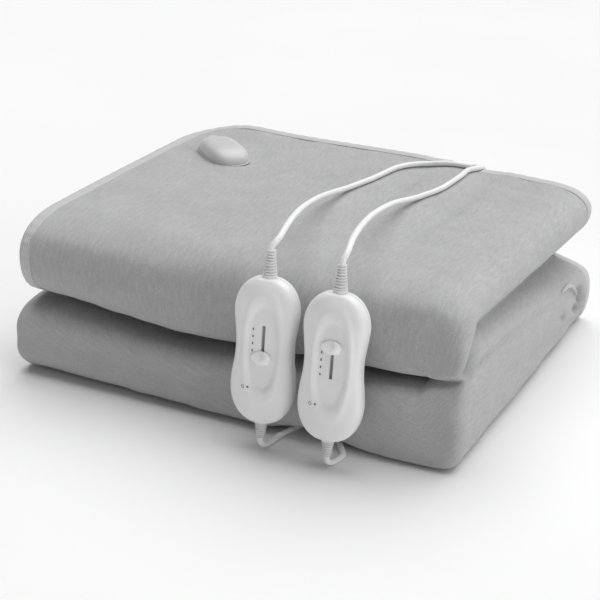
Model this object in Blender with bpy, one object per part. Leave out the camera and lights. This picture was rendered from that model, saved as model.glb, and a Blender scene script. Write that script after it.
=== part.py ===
"""Electric heated underblanket, folded into a stack, with its two slider controllers.

The cloth is one sheet. It is folded in half along X, then in half twice along Y, then
in half along X once more, so the stack is sixteen layers deep. Every point of the flat
sheet is carried through those folds by the functions below. Lengths are in metres, +Z
is up, -Y is the front, and the stack rests on z = 0.
"""
import math

import bmesh
import bpy
import numpy as np
from mathutils import Euler, Vector
from mathutils.bvhtree import BVHTree

# ---- driving dimensions -------------------------------------------------------------
CLOTH = 0.0040            # two bonded plies of fleece with the heating wire between them
PITCH = 0.0090            # from the middle of one layer to the middle of the next
PARTING = 0.0020          # extra room between the upper and the lower half of the stack
BACK_EDGE = 0.3425        # depth of the stack, front nose to bound edge
RIGHT_TIP = 0.4250        # width of the stack, bound end to the last fold
BINDING = 0.0100          # width of the tape round the sheet's edge
TAPE_PROUD = 0.0003       # how much the tape stands above the cloth on each face
JOIN = 0.0003             # gap that pieces which touch keep between them
CORNER = 0.0600           # radius of the sheet's own four corners
TURN_REACH = 0.75         # half width over half height of the last fold, seen from the front
TURN_POWERS = (2.9, 8.0)  # how square that fold is, above and below: 2 is an ellipse
NOSES = [                 # front folds, from the upper left end round the last fold to the
    # lower left end: place along the halved sheet, reach over half height outside and
    # inside, power, how far back the inner fold lies, front-most place
    (0.000, 1.70, 1.10, 2.30, 0.064, 0.0050),
    (0.270, 1.70, 1.08, 2.50, 0.064, 0.0020),
    (0.370, 1.45, 1.00, 3.30, 0.064, 0.0000),
    (0.429, 1.00, 1.00, 7.00, 0.052, 0.0000),
    (0.488, 1.00, 1.00, 5.00, 0.040, -0.0050),
    (0.853, 1.05, 1.10, 2.60, 0.039, -0.0050),
]
INNER_REACH = 1.2         # the same ratio for the small folds inside them
UPPER_LEFT = 0.0045       # where the upper half starts, at the left
LOWER_LEFT = 0.0055       # where the lower half's last straight ends, at the left
CORD = 0.0050             # diameter of all four leads
STRAIGHT_END = 0.0030     # how far a lead runs straight from each of its ends
LEAD_CLEAR = 0.0007       # least room between a resting lead and the cloth's facets

# ---- worked out from them -----------------------------------------------------------
RUN = 2 * PITCH                                    # a doubled layer's share of the stack
OUTERMOST = 3.5 * PITCH + CLOTH / 2                # half the height of one half stack
TURN_RADIUS = 4 * PITCH + PARTING / 2
HEIGHT = 2 * (TURN_RADIUS + OUTERMOST)
LOOP_Y = BACK_EDGE - 0.004 - 1.5 * PITCH - CLOTH / 2   # centre of the closed folds behind
EDGE = BINDING + JOIN                              # where the cloth stops and tape begins
CORNER_ROWS = 4
CORNER_ZONE = 0.17        # width at each side over which the columns bend round the corners
TURN_ROWS = (6, 8)        # rows round the last fold, above the notch in it and below
FAR_LEFT = 0.205          # stretch of the lower half left of the passage, with few rows

# lengths of the flat sheet taken by each stretch of the folded section, front to back
SECTION = [                     # stretch, flat length
    ("top run", 0.262),
    ("outer nose", 0.182),
    ("second run", 0.243),
    ("back loop", math.pi * PITCH),
    ("third run", 0.243),
    ("inner nose", 0.060),
    ("last run", 0.262),
]
UPPER_LENGTH = 0.370
TURN_LENGTH = 0.118
LOWER_LENGTH = 0.365
HALF_LENGTH = UPPER_LENGTH + TURN_LENGTH + LOWER_LENGTH
HALF_FOLD = math.pi * PITCH / 2
SHEET_LENGTH = 2 * HALF_LENGTH + HALF_FOLD
SHEET_WIDTH = sum(length for _, length in SECTION)

# the passage under the stack that the two mains leads run through, front to back
PASSAGE = {"x": 0.295, "half_width": 0.052, "lift": 0.0100, "fades_at": 0.060}

# the notch in the right-hand end, in front and at the back: height, depth, and how far it
# reaches up and down; its front end hooks downwards
NOTCH = {"front": (0.1065, 0.0130, 0.0090, 0.0055), "back": (0.0645, 0.0380, 0.0290, 0.0075),
         "from": 0.030, "to": 0.3425, "starts": 0.001, "eases": 0.018,
         "hook": 0.021, "hook_ends": 0.045}

# faint lines in the right-hand end: height in front and at the back, depth, width
LINES = [(0.089, 0.046, 0.0032, 0.0055), (0.053, 0.010, 0.0018, 0.0060)]

# the front crease past the end of the parting between the halves
CREASE = {"from": 0.345, "to": 0.425, "heights": (0.0730, 0.0830), "depth": 0.0090,
          "width": 0.0060}

# the parting's end, drawn out to the right and pinched flat
MOUTH = {"from": 0.330, "end": 0.375, "to": 0.425, "height": 0.0790, "drawn": 0.0240,
         "reach": 0.0180, "pinch": 0.65, "pinch_reach": 0.0160}

# how the upper half droops over the lower one: x, z, drop, reach along x and z
DROOP = (0.185, 0.075, -0.0155, 0.150, 0.0300)

# soft troughs and swells on the top: x, y, height, reach along x, reach along y
SWELLS = [
    (0.360, 0.060, 0.0050, 0.120, 0.110),
    (0.400, 0.345, -0.0070, 0.090, 0.120),
    (0.000, 0.345, -0.0035, 0.040, 0.050),
    (0.345, 0.230, -0.0035, 0.022, 0.090),
    (0.262, 0.250, -0.0030, 0.014, 0.070),
    (0.090, 0.130, 0.0015, 0.090, 0.090),
    (0.3035, 0.345, -0.0042, 0.015, 0.026),
]

# hollows pressed into the front: x, z, depth, reach along x, reach along z
HOLLOWS = [
    (0.395, 0.110, 0.004, 0.030, 0.020),
    (0.400, 0.040, 0.004, 0.030, 0.022),
    (0.215, 0.085, 0.004, 0.030, 0.030),
]


def superellipse(angle, power):
    """Point of a unit superellipse at a polar angle: a circle for power 2, squarer above."""
    cosine, sine = np.cos(angle), np.sin(angle)
    norm = (np.abs(cosine) ** power + np.abs(sine) ** power) ** (1 / power)
    return cosine / norm, sine / norm


def smooth_step(value):
    value = np.clip(value, 0.0, 1.0)
    return value * value * (3 - 2 * value)


def halve_along_x(u, face):
    """First fold: distance a from the open end, and offset c from the doubled middle."""
    turn = np.clip((u - HALF_LENGTH) / HALF_FOLD, 0, 1) * math.pi
    reach = PITCH / 2 + face
    along = np.minimum(np.minimum(u, SHEET_LENGTH - u), HALF_LENGTH)
    return along + reach * np.sin(turn), reach * np.cos(turn)


def nose_at(a):
    """Sizes of the front fold at a place along the sheet, eased from row to row."""
    table = np.array(NOSES)
    leg = np.clip(np.searchsorted(table[:, 0], a, side="right") - 1, 0, len(table) - 2)
    share = smooth_step((a - table[leg, 0]) / (table[leg + 1, 0] - table[leg, 0]))
    return [table[leg, k] + (table[leg + 1, k] - table[leg, k]) * share
            for k in range(1, table.shape[1])]


def section_point(v, c, nose):
    """Second and third fold: depth y and height w in the half stack's own section."""
    above, below, power, inner_y, tip = nose
    starts = np.cumsum([0.0] + [length for _, length in SECTION])
    t = [np.clip((v - starts[i]) / SECTION[i][1], None if i == 0 else 0, None if i == 6 else 1)
         for i in range(7)]
    outer, inner, loop = 3 * PITCH + c, PITCH - c, PITCH + c
    out_angle = math.pi * (0.5 - t[1])
    out_cos, out_sin = superellipse(out_angle, power)
    in_cos, in_sin = superellipse(math.pi * (t[5] - 0.5), power)
    loop_angle = math.pi * (t[3] - 0.5)
    reach = below + (above - below) * (1 + np.sin(out_angle)) / 2
    top_y, under_y = tip + above * OUTERMOST, tip + below * OUTERMOST
    ys = [
        BACK_EDGE + (top_y - BACK_EDGE) * t[0],
        tip + reach * (OUTERMOST - outer * out_cos),
        under_y + (LOOP_Y - under_y) * t[2],
        LOOP_Y + loop * np.cos(loop_angle),
        LOOP_Y + (inner_y - LOOP_Y) * t[4],
        inner_y - INNER_REACH * inner * in_cos,
        inner_y + (BACK_EDGE - inner_y) * t[6],
    ]
    ws = [
        outer,
        outer * out_sin,
        -outer,
        -RUN + loop * np.sin(loop_angle),
        -inner,
        inner * in_sin,
        inner,
    ]
    which = np.clip(np.searchsorted(starts, v, side="right") - 1, 0, 6)
    return np.choose(which, np.broadcast_arrays(*ys)), np.choose(which, np.broadcast_arrays(*ws))


def turn_curve(share, outward=1.0):
    """Outline of the last fold over its radius, squarer below and for the outer layers."""
    soft, square = TURN_POWERS
    power = soft + (square - soft) * smooth_step(share) * outward ** 1.5
    return superellipse(math.pi * (0.5 - share), power)


def turn_table():
    """Shares of the fold's angle, top to bottom, and the shares of its run they reach."""
    share = np.linspace(0, 1, 4001)
    cosine, sine = turn_curve(share)
    run = np.cumsum(np.hypot(np.diff(TURN_REACH * cosine), np.diff(sine)))
    return share, np.concatenate([[0], run / run[-1]])


TURN_SHARES, TURN_RUNS = turn_table()


def last_fold(a, w):
    """Fourth fold: the half stack goes right, turns down through the end and comes back."""
    centre_x = RIGHT_TIP - TURN_REACH * HEIGHT / 2
    radius = TURN_RADIUS + w
    run = np.clip((a - UPPER_LENGTH) / TURN_LENGTH, 0, 1)
    outward = np.clip(radius / (TURN_RADIUS + OUTERMOST), 0, 1)
    cosine, sine = turn_curve(np.interp(run, TURN_RUNS, TURN_SHARES), outward)
    back = (a - UPPER_LENGTH - TURN_LENGTH) / LOWER_LENGTH
    x = np.where(a < UPPER_LENGTH, UPPER_LEFT + (centre_x - UPPER_LEFT) * a / UPPER_LENGTH,
                 centre_x + TURN_REACH * radius * cosine)
    x = np.where(back > 0, centre_x + (LOWER_LEFT - centre_x) * back, x)
    return x, HEIGHT / 2 + radius * sine


def bell(value, middle, reach):
    return np.exp(-((value - middle) / reach) ** 2)


def notch_at(y):
    """The notch's height, depth and reach up and down, at a distance from the front."""
    along = np.clip((y - NOTCH["from"]) / (NOTCH["to"] - NOTCH["from"]), 0, 1)
    height, depth, up, down = [front + (back - front) * along
                               for front, back in zip(NOTCH["front"], NOTCH["back"])]
    past = (y - NOTCH["starts"]) / (NOTCH["hook_ends"] - NOTCH["starts"])
    return (height - NOTCH["hook"] * (1 - smooth_step(past)),
            depth * smooth_step((y - NOTCH["starts"]) / NOTCH["eases"]), up, down)


def settle(x, y, z):
    """The cloth's uneven lie. Each part slides points one way only, so no layers cross."""
    ends = smooth_step((x - 0.30) / 0.11)
    height, depth, up, down = notch_at(y)
    away = z - height
    shift = depth * np.where(away > 0, np.exp(-(np.abs(away) / up) ** 1.8),
                             np.exp(-(np.abs(away) / down) ** 1.4))
    fading = 1 - 0.8 * smooth_step((y - 0.20) / 0.14)
    for front, back, deep, width in LINES:
        shift = shift + fading * deep * bell(z, front + (back - front) * y / BACK_EDGE, width)
    near_front = 1 - smooth_step(y / 0.13)
    sets_in = near_front * smooth_step((x - MOUTH["from"]) / (MOUTH["end"] - MOUTH["from"]))
    fades = np.clip((MOUTH["to"] - x) / (MOUTH["to"] - MOUTH["end"]), 0, 1)
    drawn = MOUTH["drawn"] * np.minimum(sets_in, near_front * fades) \
        * bell(z, MOUTH["height"], MOUTH["reach"])
    pinched = MOUTH["pinch"] * sets_in * (z - MOUTH["height"]) \
        * bell(z, MOUTH["height"], MOUTH["pinch_reach"])
    share = np.clip((x - CREASE["from"]) / (CREASE["to"] - CREASE["from"]), 0, 1)
    low, high = CREASE["heights"]
    push = CREASE["depth"] * smooth_step(2 * share) * bell(z, low + (high - low) * share,
                                                           CREASE["width"])
    for at_x, at_z, deep, reach_x, reach_z in HOLLOWS:
        push = push + deep * bell(x, at_x, reach_x) * bell(z, at_z, reach_z)
    at_x, at_z, drop, reach_x, reach_z = DROOP
    sag = drop * near_front * bell(x, at_x, reach_x) * bell(z, at_z, reach_z)
    lift = np.zeros_like(z)
    for at_x, at_y, rise, reach_x, reach_y in SWELLS:
        lift = lift + rise * bell(x, at_x, reach_x) * bell(y, at_y, reach_y)
    across = np.clip((x - PASSAGE["x"]) / PASSAGE["half_width"], -1, 1)
    fade = np.clip(1 - z / PASSAGE["fades_at"], 0, 1) ** 2
    arch = PASSAGE["lift"] * np.cos(across * math.pi / 2) ** 2 * fade
    return (x - shift * ends + drawn, y + push * near_front,
            z + sag - pinched + lift * (z / HEIGHT) ** 2 + arch)


def cloth_point(u, v, face):
    """Where a point of the flat sheet lies in the stack; face is its height off the middle."""
    a, c = halve_along_x(u, face)
    y, w = section_point(v, c, nose_at(a))
    x, z = last_fold(a, w)
    return np.stack(settle(x, y, z), axis=-1)


class Lie:
    """The upper face of the folded cloth and its tape, for what rests on them."""

    def __init__(self, pieces):
        self.trees = [BVHTree.FromPolygons([v.co for v in piece.data.vertices],
                                           [tuple(p.vertices) for p in piece.data.polygons])
                      for piece in pieces]

    def height(self, x, y):
        """Highest point under (x, y), or None beside the stack."""
        hits = [tree.ray_cast(Vector((x, y, 1)), Vector((0, 0, -1)))[0] for tree in self.trees]
        found = [hit.z for hit in hits if hit is not None]
        return max(found) if found else None

    def under_lead(self, x, y):
        """Height of a resting lead's middle, as a ball that rolls on the cloth."""
        ball = CORD / 2 + LEAD_CLEAR
        found = []
        for share in (0, 0.35, 0.7, 0.95):
            for turn in range(8 if share else 1):
                angle = math.pi / 4 * turn
                height = self.height(x + share * ball * math.cos(angle),
                                     y + share * ball * math.sin(angle))
                if height is not None:
                    found.append(height + ball * math.sqrt(1 - share ** 2))
        return max(found) if found else None


# ---- the sheet's grid ---------------------------------------------------------------
def stretch(start, end, steps):
    return list(np.linspace(start, end, steps + 1)[1:])


def sheet_stations():
    """Rows along half the sheet's length, with levels round the last fold, and columns."""
    radius = CORNER - EDGE
    angles = [math.pi / 2 * i / CORNER_ROWS for i in range(CORNER_ROWS + 1)]
    half = [CORNER - radius * math.cos(angle) for angle in angles]
    half += stretch(CORNER, ENTRY["x"] - 0.035, 4)
    half += [ENTRY["x"] - 0.013, ENTRY["x"] + 0.005, ENTRY["x"] + 0.025, UPPER_LENGTH]
    above, below = TURN_ROWS
    levels = [math.nan] * len(half)
    levels += [-(1 - k / above) ** 1.4 for k in range(1, above)] + [0.0]
    levels += [(k / below) ** 1.5 for k in range(1, below + 1)]
    half += [UPPER_LENGTH] * (above + below)
    half += stretch(UPPER_LENGTH + TURN_LENGTH, HALF_LENGTH - FAR_LEFT, 9)
    half += stretch(HALF_LENGTH - FAR_LEFT, HALF_LENGTH, 2)
    levels += [math.nan] * (len(half) - len(levels))
    steps = {"top run": 5, "outer nose": 8, "second run": 2, "back loop": 3,
             "third run": 2, "inner nose": 3, "last run": 2}
    columns, start = [EDGE], 0.0
    for name, length in SECTION:
        end = start + length - (EDGE if name == "last run" else 0.0)
        columns += stretch(max(start, EDGE), end, steps[name])
        start += length
    return np.array(half), np.array(levels), np.array(columns)


def sheet_grid():
    """Flat places of every grid point. The rows in the last fold slant along the notch, and
    the columns are drawn in round the four corners."""
    half, levels, columns = sheet_stations()
    depth, _ = section_point(columns, 0.0, nose_at(UPPER_LENGTH + TURN_LENGTH / 2))
    share = (notch_at(depth)[0] - HEIGHT / 2) / (TURN_RADIUS + OUTERMOST)
    apex = np.interp(share, turn_curve(TURN_SHARES)[1][::-1], TURN_RUNS[::-1])[None, :]
    level = levels[:, None]
    turn = np.where(level < 0, apex * (1 + level), apex + (1 - apex) * level)
    outer = np.where(np.isnan(level), half[:, None], UPPER_LENGTH + TURN_LENGTH * turn)
    fold = np.array(stretch(HALF_LENGTH, HALF_LENGTH + HALF_FOLD, 3)[:-1])
    flat_u = np.concatenate([outer, fold[:, None] + 0 * apex, SHEET_LENGTH - outer[::-1]])
    rows = np.concatenate([half, fold, SHEET_LENGTH - half[::-1]])
    radius = CORNER - EDGE
    inset = np.minimum(rows, SHEET_LENGTH - rows) - EDGE
    drop = radius - np.sqrt(np.maximum(radius ** 2 - np.maximum(radius - inset, 0) ** 2, 0))
    near = np.clip(1 - (columns - EDGE) / CORNER_ZONE, 0, 1)
    far = np.clip(1 - (SHEET_WIDTH - EDGE - columns) / CORNER_ZONE, 0, 1)
    return flat_u, columns[None, :] + drop[:, None] * (near - far)[None, :]


def sheet_border():
    """Flat places round the cloth's edge, in order, with the outward direction at each."""
    flat_u, flat_v = sheet_grid()
    angles = np.linspace(0, math.pi / 2, CORNER_ROWS + 1)
    lean = np.zeros(len(flat_u))
    lean[:CORNER_ROWS + 1] = -np.cos(angles)
    lean[-CORNER_ROWS - 1:] = np.cos(angles)[::-1]
    rise = np.sqrt(np.maximum(1 - lean ** 2, 0))
    sides = [
        (flat_u[0], flat_v[0], -1 + 0 * flat_v[0], 0 * flat_v[0]),
        (flat_u[1:, -1], flat_v[1:, -1], lean[1:], rise[1:]),
        (flat_u[-1, -2::-1], flat_v[-1, -2::-1], 1 + 0 * flat_v[-1, 1:], 0 * flat_v[-1, 1:]),
        (flat_u[-2:0:-1, 0], flat_v[-2:0:-1, 0], lean[-2:0:-1], -rise[-2:0:-1]),
    ]
    return [np.concatenate(parts) for parts in zip(*sides)]


# ---- making meshes ------------------------------------------------------------------
def closed_mesh(name, points, faces, triangles=False):
    mesh = bpy.data.meshes.new(name)
    mesh.from_pydata([tuple(p) for p in points], [], faces)
    shape = bmesh.new()
    shape.from_mesh(mesh)
    bmesh.ops.recalc_face_normals(shape, faces=shape.faces)
    if shape.calc_volume(signed=True) < 0:
        bmesh.ops.reverse_faces(shape, faces=shape.faces)
    if triangles:
        bmesh.ops.triangulate(shape, faces=shape.faces, quad_method="SHORT_EDGE")
    shape.to_mesh(mesh)
    shape.free()
    mesh.shade_smooth()
    mesh.set_sharp_from_angle(angle=math.radians(50))
    return mesh


def add_object(name, mesh, material, collection, parent=None):
    piece = bpy.data.objects.new(name, mesh)
    collection.objects.link(piece)
    piece.data.materials.clear()
    piece.data.materials.append(material)
    if parent is not None:
        piece.parent = parent
    return piece


def grid_faces(rows, columns, first, flipped):
    """Quads of a rows by columns grid whose points start at index first."""
    faces = []
    for i in range(rows - 1):
        for j in range(columns - 1):
            corner = first + i * columns + j
            face = (corner, corner + 1, corner + columns + 1, corner + columns)
            faces.append(face[::-1] if flipped else face)
    return faces


def make_blanket(material, collection):
    flat_u, flat_v = sheet_grid()
    rows, columns = flat_u.shape
    top = cloth_point(flat_u, flat_v, CLOTH / 2).reshape(-1, 3)
    under = cloth_point(flat_u, flat_v, -CLOTH / 2).reshape(-1, 3)
    count = len(top)
    faces = grid_faces(rows, columns, 0, False) + grid_faces(rows, columns, count, True)
    rim = [j for j in range(columns)]
    rim += [i * columns + columns - 1 for i in range(1, rows)]
    rim += [(rows - 1) * columns + j for j in range(columns - 2, -1, -1)]
    rim += [i * columns for i in range(rows - 2, 0, -1)]
    for here, there in zip(rim, rim[1:] + rim[:1]):
        faces.append((there, here, here + count, there + count))
    mesh = closed_mesh("blanket", np.concatenate([top, under]), faces, triangles=True)
    return add_object("blanket", mesh, material, collection)


def make_binding(material, collection):
    """The tape: a flat ring that carries the sheet's edge on past the cloth."""
    flat_u, flat_v, out_u, out_v = sheet_border()
    half = CLOTH / 2 + TAPE_PROUD
    loops = [cloth_point(flat_u + reach * out_u, flat_v + reach * out_v, face)
             for reach, face in ((JOIN, half), (EDGE, half), (EDGE, -half), (JOIN, -half))]
    count = len(flat_u)
    faces = []
    for ring in range(4):
        this, other = ring * count, (ring + 1) % 4 * count
        for i in range(count):
            j = (i + 1) % count
            faces.append((this + i, this + j, other + j, other + i))
    mesh = closed_mesh("binding", np.concatenate(loops), faces, triangles=True)
    return add_object("binding", mesh, material, collection)


def loft(name, rings, material, collection, parent=None):
    """A closed body through rings of equally many points, with its two ends capped."""
    count = len(rings[0])
    points = [point for ring in rings for point in ring]
    faces = [tuple(range(count))[::-1], tuple(range(len(points) - count, len(points)))]
    for i in range(len(rings) - 1):
        for j in range(count):
            k = (j + 1) % count
            faces.append((i * count + j, i * count + k, (i + 1) * count + k, (i + 1) * count + j))
    return add_object(name, closed_mesh(name, points, faces), material, collection, parent)


def turned(name, profile, material, collection, parent=None, steps=16):
    """A body of revolution about its own Z, spun from (radius, height) pairs."""
    shape = bmesh.new()
    line = [shape.verts.new((radius, 0, height)) for radius, height in profile]
    edges = [shape.edges.new(pair) for pair in zip(line, line[1:])]
    bmesh.ops.spin(shape, geom=line + edges, axis=(0, 0, 1), cent=(0, 0, 0),
                   angle=2 * math.pi, steps=steps, use_merge=True)
    bmesh.ops.remove_doubles(shape, verts=shape.verts, dist=0.00001)
    bmesh.ops.recalc_face_normals(shape, faces=shape.faces)
    mesh = bpy.data.meshes.new(name)
    shape.to_mesh(mesh)
    shape.free()
    mesh.shade_smooth()
    mesh.set_sharp_from_angle(angle=math.radians(40))
    return add_object(name, mesh, material, collection, parent)


def smooth_route(points, spacing):
    """Evenly spaced points on the smooth curve through a route's own points."""
    route = np.array(points, dtype=float)
    padded = np.vstack([2 * route[0] - route[1], route, 2 * route[-1] - route[-2]])
    fine = []
    for before, start, end, after in zip(padded, padded[1:], padded[2:], padded[3:]):
        for t in np.linspace(0, 1, 24, endpoint=False):
            fine.append(0.5 * (2 * start + (end - before) * t
                               + (2 * before - 5 * start + 4 * end - after) * t ** 2
                               + (3 * start - before - 3 * end + after) * t ** 3))
    fine = np.array(fine + [route[-1]])
    along = np.concatenate([[0], np.cumsum(np.linalg.norm(np.diff(fine, axis=0), axis=1))])
    stops = np.linspace(0, along[-1], max(3, round(along[-1] / spacing) + 1))
    return np.stack([np.interp(stops, along, fine[:, i]) for i in range(3)], axis=1)


def with_straight_ends(points, route):
    """Adds a point close to each end, so that the end faces stand square to the lead."""
    route = np.array(route, dtype=float)
    ends = []
    for tip, inward in ((route[0], route[1] - route[0]), (route[-1], route[-2] - route[-1])):
        ends.append(tip + inward / np.linalg.norm(inward) * STRAIGHT_END)
    return np.vstack([points[:1], ends[0], points[1:-1], ends[1], points[-1:]])


def make_cord(name, route, material, collection, carrier=None):
    curve = bpy.data.curves.new(name, "CURVE")
    curve.dimensions = "3D"
    curve.bevel_depth = CORD / 2
    curve.bevel_resolution = 2
    curve.use_fill_caps = True
    points = with_straight_ends(smooth_route(route, 2 * CORD), route)
    if carrier is not None:
        for point in points:
            point[2] = max(point[2], carrier.under_lead(point[0], point[1]) or 0)
    spline = curve.splines.new("POLY")
    spline.points.add(len(points) - 1)
    for slot, point in zip(spline.points, points):
        slot.co = (*point, 1.0)
    piece = bpy.data.objects.new(name, curve)
    collection.objects.link(piece)
    curve.materials.append(material)
    return piece


# ---- controllers --------------------------------------------------------------------
BODY_OUTLINE = [          # place along the body, half width, front depth, back depth
    (-0.0610, 0.0070, 0.0058, 0.0050),
    (-0.0590, 0.0125, 0.0082, 0.0072),
    (-0.0540, 0.0190, 0.0106, 0.0092),
    (-0.0450, 0.0243, 0.0125, 0.0106),
    (-0.0330, 0.0268, 0.0134, 0.0114),
    (-0.0200, 0.0262, 0.0137, 0.0116),
    (-0.0060, 0.0243, 0.0137, 0.0116),
    (0.0080, 0.0238, 0.0137, 0.0116),
    (0.0220, 0.0254, 0.0137, 0.0116),
    (0.0350, 0.0266, 0.0134, 0.0114),
    (0.0460, 0.0243, 0.0125, 0.0106),
    (0.0545, 0.0190, 0.0106, 0.0092),
    (0.0592, 0.0125, 0.0082, 0.0072),
    (0.0610, 0.0070, 0.0058, 0.0050),
]
BODY_HALF = 0.0610
PARTING_LINE = 0.00025    # half the gap between the two shells
SHELL_POWER = 3.0
PAN = {"z": 0.0050, "half_width": 0.0135, "half_length": 0.0380, "depth": 0.0026}
SLOT = {"low": -0.0066, "high": 0.0238, "width": 0.0030, "depth": 0.0045}
FACE_X = 0.0018           # the pan, the slot and the knob stand this far right of the middle
KNOB = {"half_width": 0.0088, "half_length": 0.0060, "height": 0.0044, "stem": 0.0010,
        "clear": 0.0004, "offset": -0.0012}
BOOTS = {                 # base radius, tip radius, length
    "top": (0.0064, 0.0038, 0.0225),
    "bottom": (0.0055, 0.0036, 0.0145),
}
CONTROLLERS = [           # side, middle of the body, lean, tilt and turn in degrees, knob place
    ("left", (0.2656, -0.0235, 0.0880), (-6.5, 1.5, 6.0), -0.0032),
    ("right", (0.3270, -0.0250, 0.0875), (-7.0, 1.5, 4.0), 0.0195),
]


def shell_rings(forward):
    """Half of the controller's body: forward is 1 for the cover, -1 for the back."""
    rings = []
    for along, width, front, back in BODY_OUTLINE:
        depth = front if forward > 0 else back
        ring = []
        for i in range(11):
            cosine, sine = superellipse(math.pi * i / 10, SHELL_POWER)
            ring.append((width * cosine, -forward * (PARTING_LINE + depth * sine), along))
        rings.append(ring)
    return rings


def face_depth(along):
    """How far in front of the parting line the cover's face stands."""
    table = np.array(BODY_OUTLINE)
    return PARTING_LINE + float(np.interp(along, table[:, 0], table[:, 2]))


def make_cutter(name, rings, cutters, material, parent):
    cutter = loft(name, rings, material, cutters, parent)
    cutter.hide_render = True
    cutter.display_type = "WIRE"
    return cutter


def cut(piece, cutter):
    boolean = piece.modifiers.new(cutter.name, "BOOLEAN")
    boolean.operation = "DIFFERENCE"
    boolean.object = cutter


def prism_rings(outline, near, far):
    """Two copies of an outline of (x, z) points, at depths near and far along Y."""
    return [[(x, depth, z) for x, z in outline] for depth in (near, far)]


def pan_outline(steps=20):
    points = []
    for i in range(steps):
        cosine, sine = superellipse(2 * math.pi * i / steps, 2.4)
        points.append((FACE_X + PAN["half_width"] * cosine,
                       PAN["z"] + PAN["half_length"] * sine))
    return points


def knob_rings():
    """The slider's oval cap, pointing forwards from its stem in the slot."""
    stem_end = SLOT["depth"] - 2 * KNOB["clear"]
    rings = []
    for share, depth in ((0, stem_end), (0, 0), (1, 0), (1, -0.35), (0.90, -0.75), (0.62, -1)):
        ring = []
        for i in range(14):
            angle = 2 * math.pi * i / 14
            wide = KNOB["half_width"] * share or KNOB["stem"]
            long = KNOB["half_length"] * share or KNOB["stem"]
            ring.append((wide * math.cos(angle) + KNOB["offset"] * share,
                         depth * KNOB["height"] if depth < 0 else depth, long * math.sin(angle)))
        rings.append(ring)
    return rings


def make_controller(side, middle, turn, knob_place, materials, collection, cutters):
    frame = bpy.data.objects.new(f"controller_{side}_frame", None)
    frame.location = middle
    frame.rotation_euler = [math.radians(angle) for angle in turn]
    collection.objects.link(frame)
    cover = loft(f"controller_{side}_cover", shell_rings(1), materials["casing"],
                 collection, frame)
    loft(f"controller_{side}_back", shell_rings(-1), materials["casing"], collection, frame)
    floor = face_depth(PAN["z"]) - PAN["depth"]
    pan = make_cutter(f"cutter_{side}_pan", prism_rings(pan_outline(), -floor, -0.030),
                      cutters, materials["casing"], frame)
    left, right = FACE_X - SLOT["width"] / 2, FACE_X + SLOT["width"] / 2
    slot_outline = [(left, SLOT["low"]), (right, SLOT["low"]),
                    (right, SLOT["high"]), (left, SLOT["high"])]
    slot = make_cutter(f"cutter_{side}_slot",
                       prism_rings(slot_outline, -floor + SLOT["depth"], -0.030),
                       cutters, materials["casing"], frame)
    cut(cover, pan)
    cut(cover, slot)
    knob = loft(f"controller_{side}_knob", knob_rings(), materials["knob"], collection, frame)
    knob.location = (FACE_X, -floor - KNOB["clear"], knob_place)
    for end, (base, tip, length) in BOOTS.items():
        boot = turned(f"controller_{side}_{end}_boot", [
            (0, length), (tip * 0.85, length), (tip, length * 0.94),
            (base * 0.93, length * 0.12), (base, 0), (0, 0),
        ], materials["boot"], collection, frame, steps=14)
        sign = 1 if end == "top" else -1
        boot.location = (0, 0, sign * (BODY_HALF + JOIN))
        boot.rotation_euler = (0 if end == "top" else math.pi, 0, 0)
    return frame


def boot_tip(middle, turn, end):
    """World place of a boot's tip, and the direction its lead leaves in."""
    sign = 1 if end == "top" else -1
    matrix = Euler([math.radians(angle) for angle in turn]).to_matrix()
    reach = sign * (BODY_HALF + JOIN + BOOTS[end][2] + JOIN)
    return Vector(middle) + matrix @ Vector((0, 0, reach)), matrix @ Vector((0, 0, sign))


# ---- connector on the cloth ---------------------------------------------------------
CONNECTOR = {"x": 0.0727, "y": 0.2500, "turn": -40.5, "half_length": 0.0360,
             "half_width": 0.0200, "height": 0.0118, "flange": 0.0016, "power": 3.0,
             "nub": 0.0060}


def make_connector(materials, collection, carrier):
    seat = max(carrier.height(CONNECTOR["x"] + dx, CONNECTOR["y"] + dy)
               for dx in (-0.03, 0, 0.03) for dy in (-0.02, 0, 0.02)) + JOIN
    frame = bpy.data.objects.new("connector_frame", None)
    frame.location = (CONNECTOR["x"], CONNECTOR["y"], seat)
    frame.rotation_euler = (0, 0, math.radians(CONNECTOR["turn"]))
    collection.objects.link(frame)

    def ring(scale, height):
        points = []
        for i in range(24):
            cosine, sine = superellipse(2 * math.pi * i / 24, CONNECTOR["power"])
            nub = CONNECTOR["nub"] * bell(sine, 0.0, 0.25) if cosine < 0 else 0.0
            points.append((scale * (CONNECTOR["half_length"] * cosine - nub),
                           scale * CONNECTOR["half_width"] * sine, height))
        return points

    flange = CONNECTOR["flange"]
    loft("connector_base", [ring(1.03, 0), ring(1.03, flange)],
         materials["casing"], collection, frame)
    rings = [ring(math.cos(angle) ** 0.55, flange + JOIN + CONNECTOR["height"] * math.sin(angle))
             for angle in np.radians([0, 22, 42, 58, 72, 82])]
    loft("connector_cover", rings, materials["casing"], collection, frame)


# ---- leads --------------------------------------------------------------------------
ENTRY = {"x": 0.3035, "half_width": 0.0140, "spread": 0.0046, "thick": 0.0130, "low": 0.0360,
         "high": 0.0170, "relief": 0.0060, "off": 0.0085}
COIL = {"mean": 0.0275, "half_wide": 0.0075, "high": 0.0150, "behind": 0.0800,
        "middles": (0.1500, 0.2550)}
PLUG = {"length": 0.0340, "half_width": 0.0125, "half_height": 0.0065, "pin": 0.0190,
        "pin_radius": 0.0020, "pin_spread": 0.0093, "tail": 0.0160}
LIE = CORD / 2 + 0.0003   # height of a resting lead's middle over what it lies on


def entry_edge(carrier):
    """Height of the top's back edge where the upper leads pass over it."""
    return carrier.height(ENTRY["x"], BACK_EDGE - 0.004)


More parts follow.
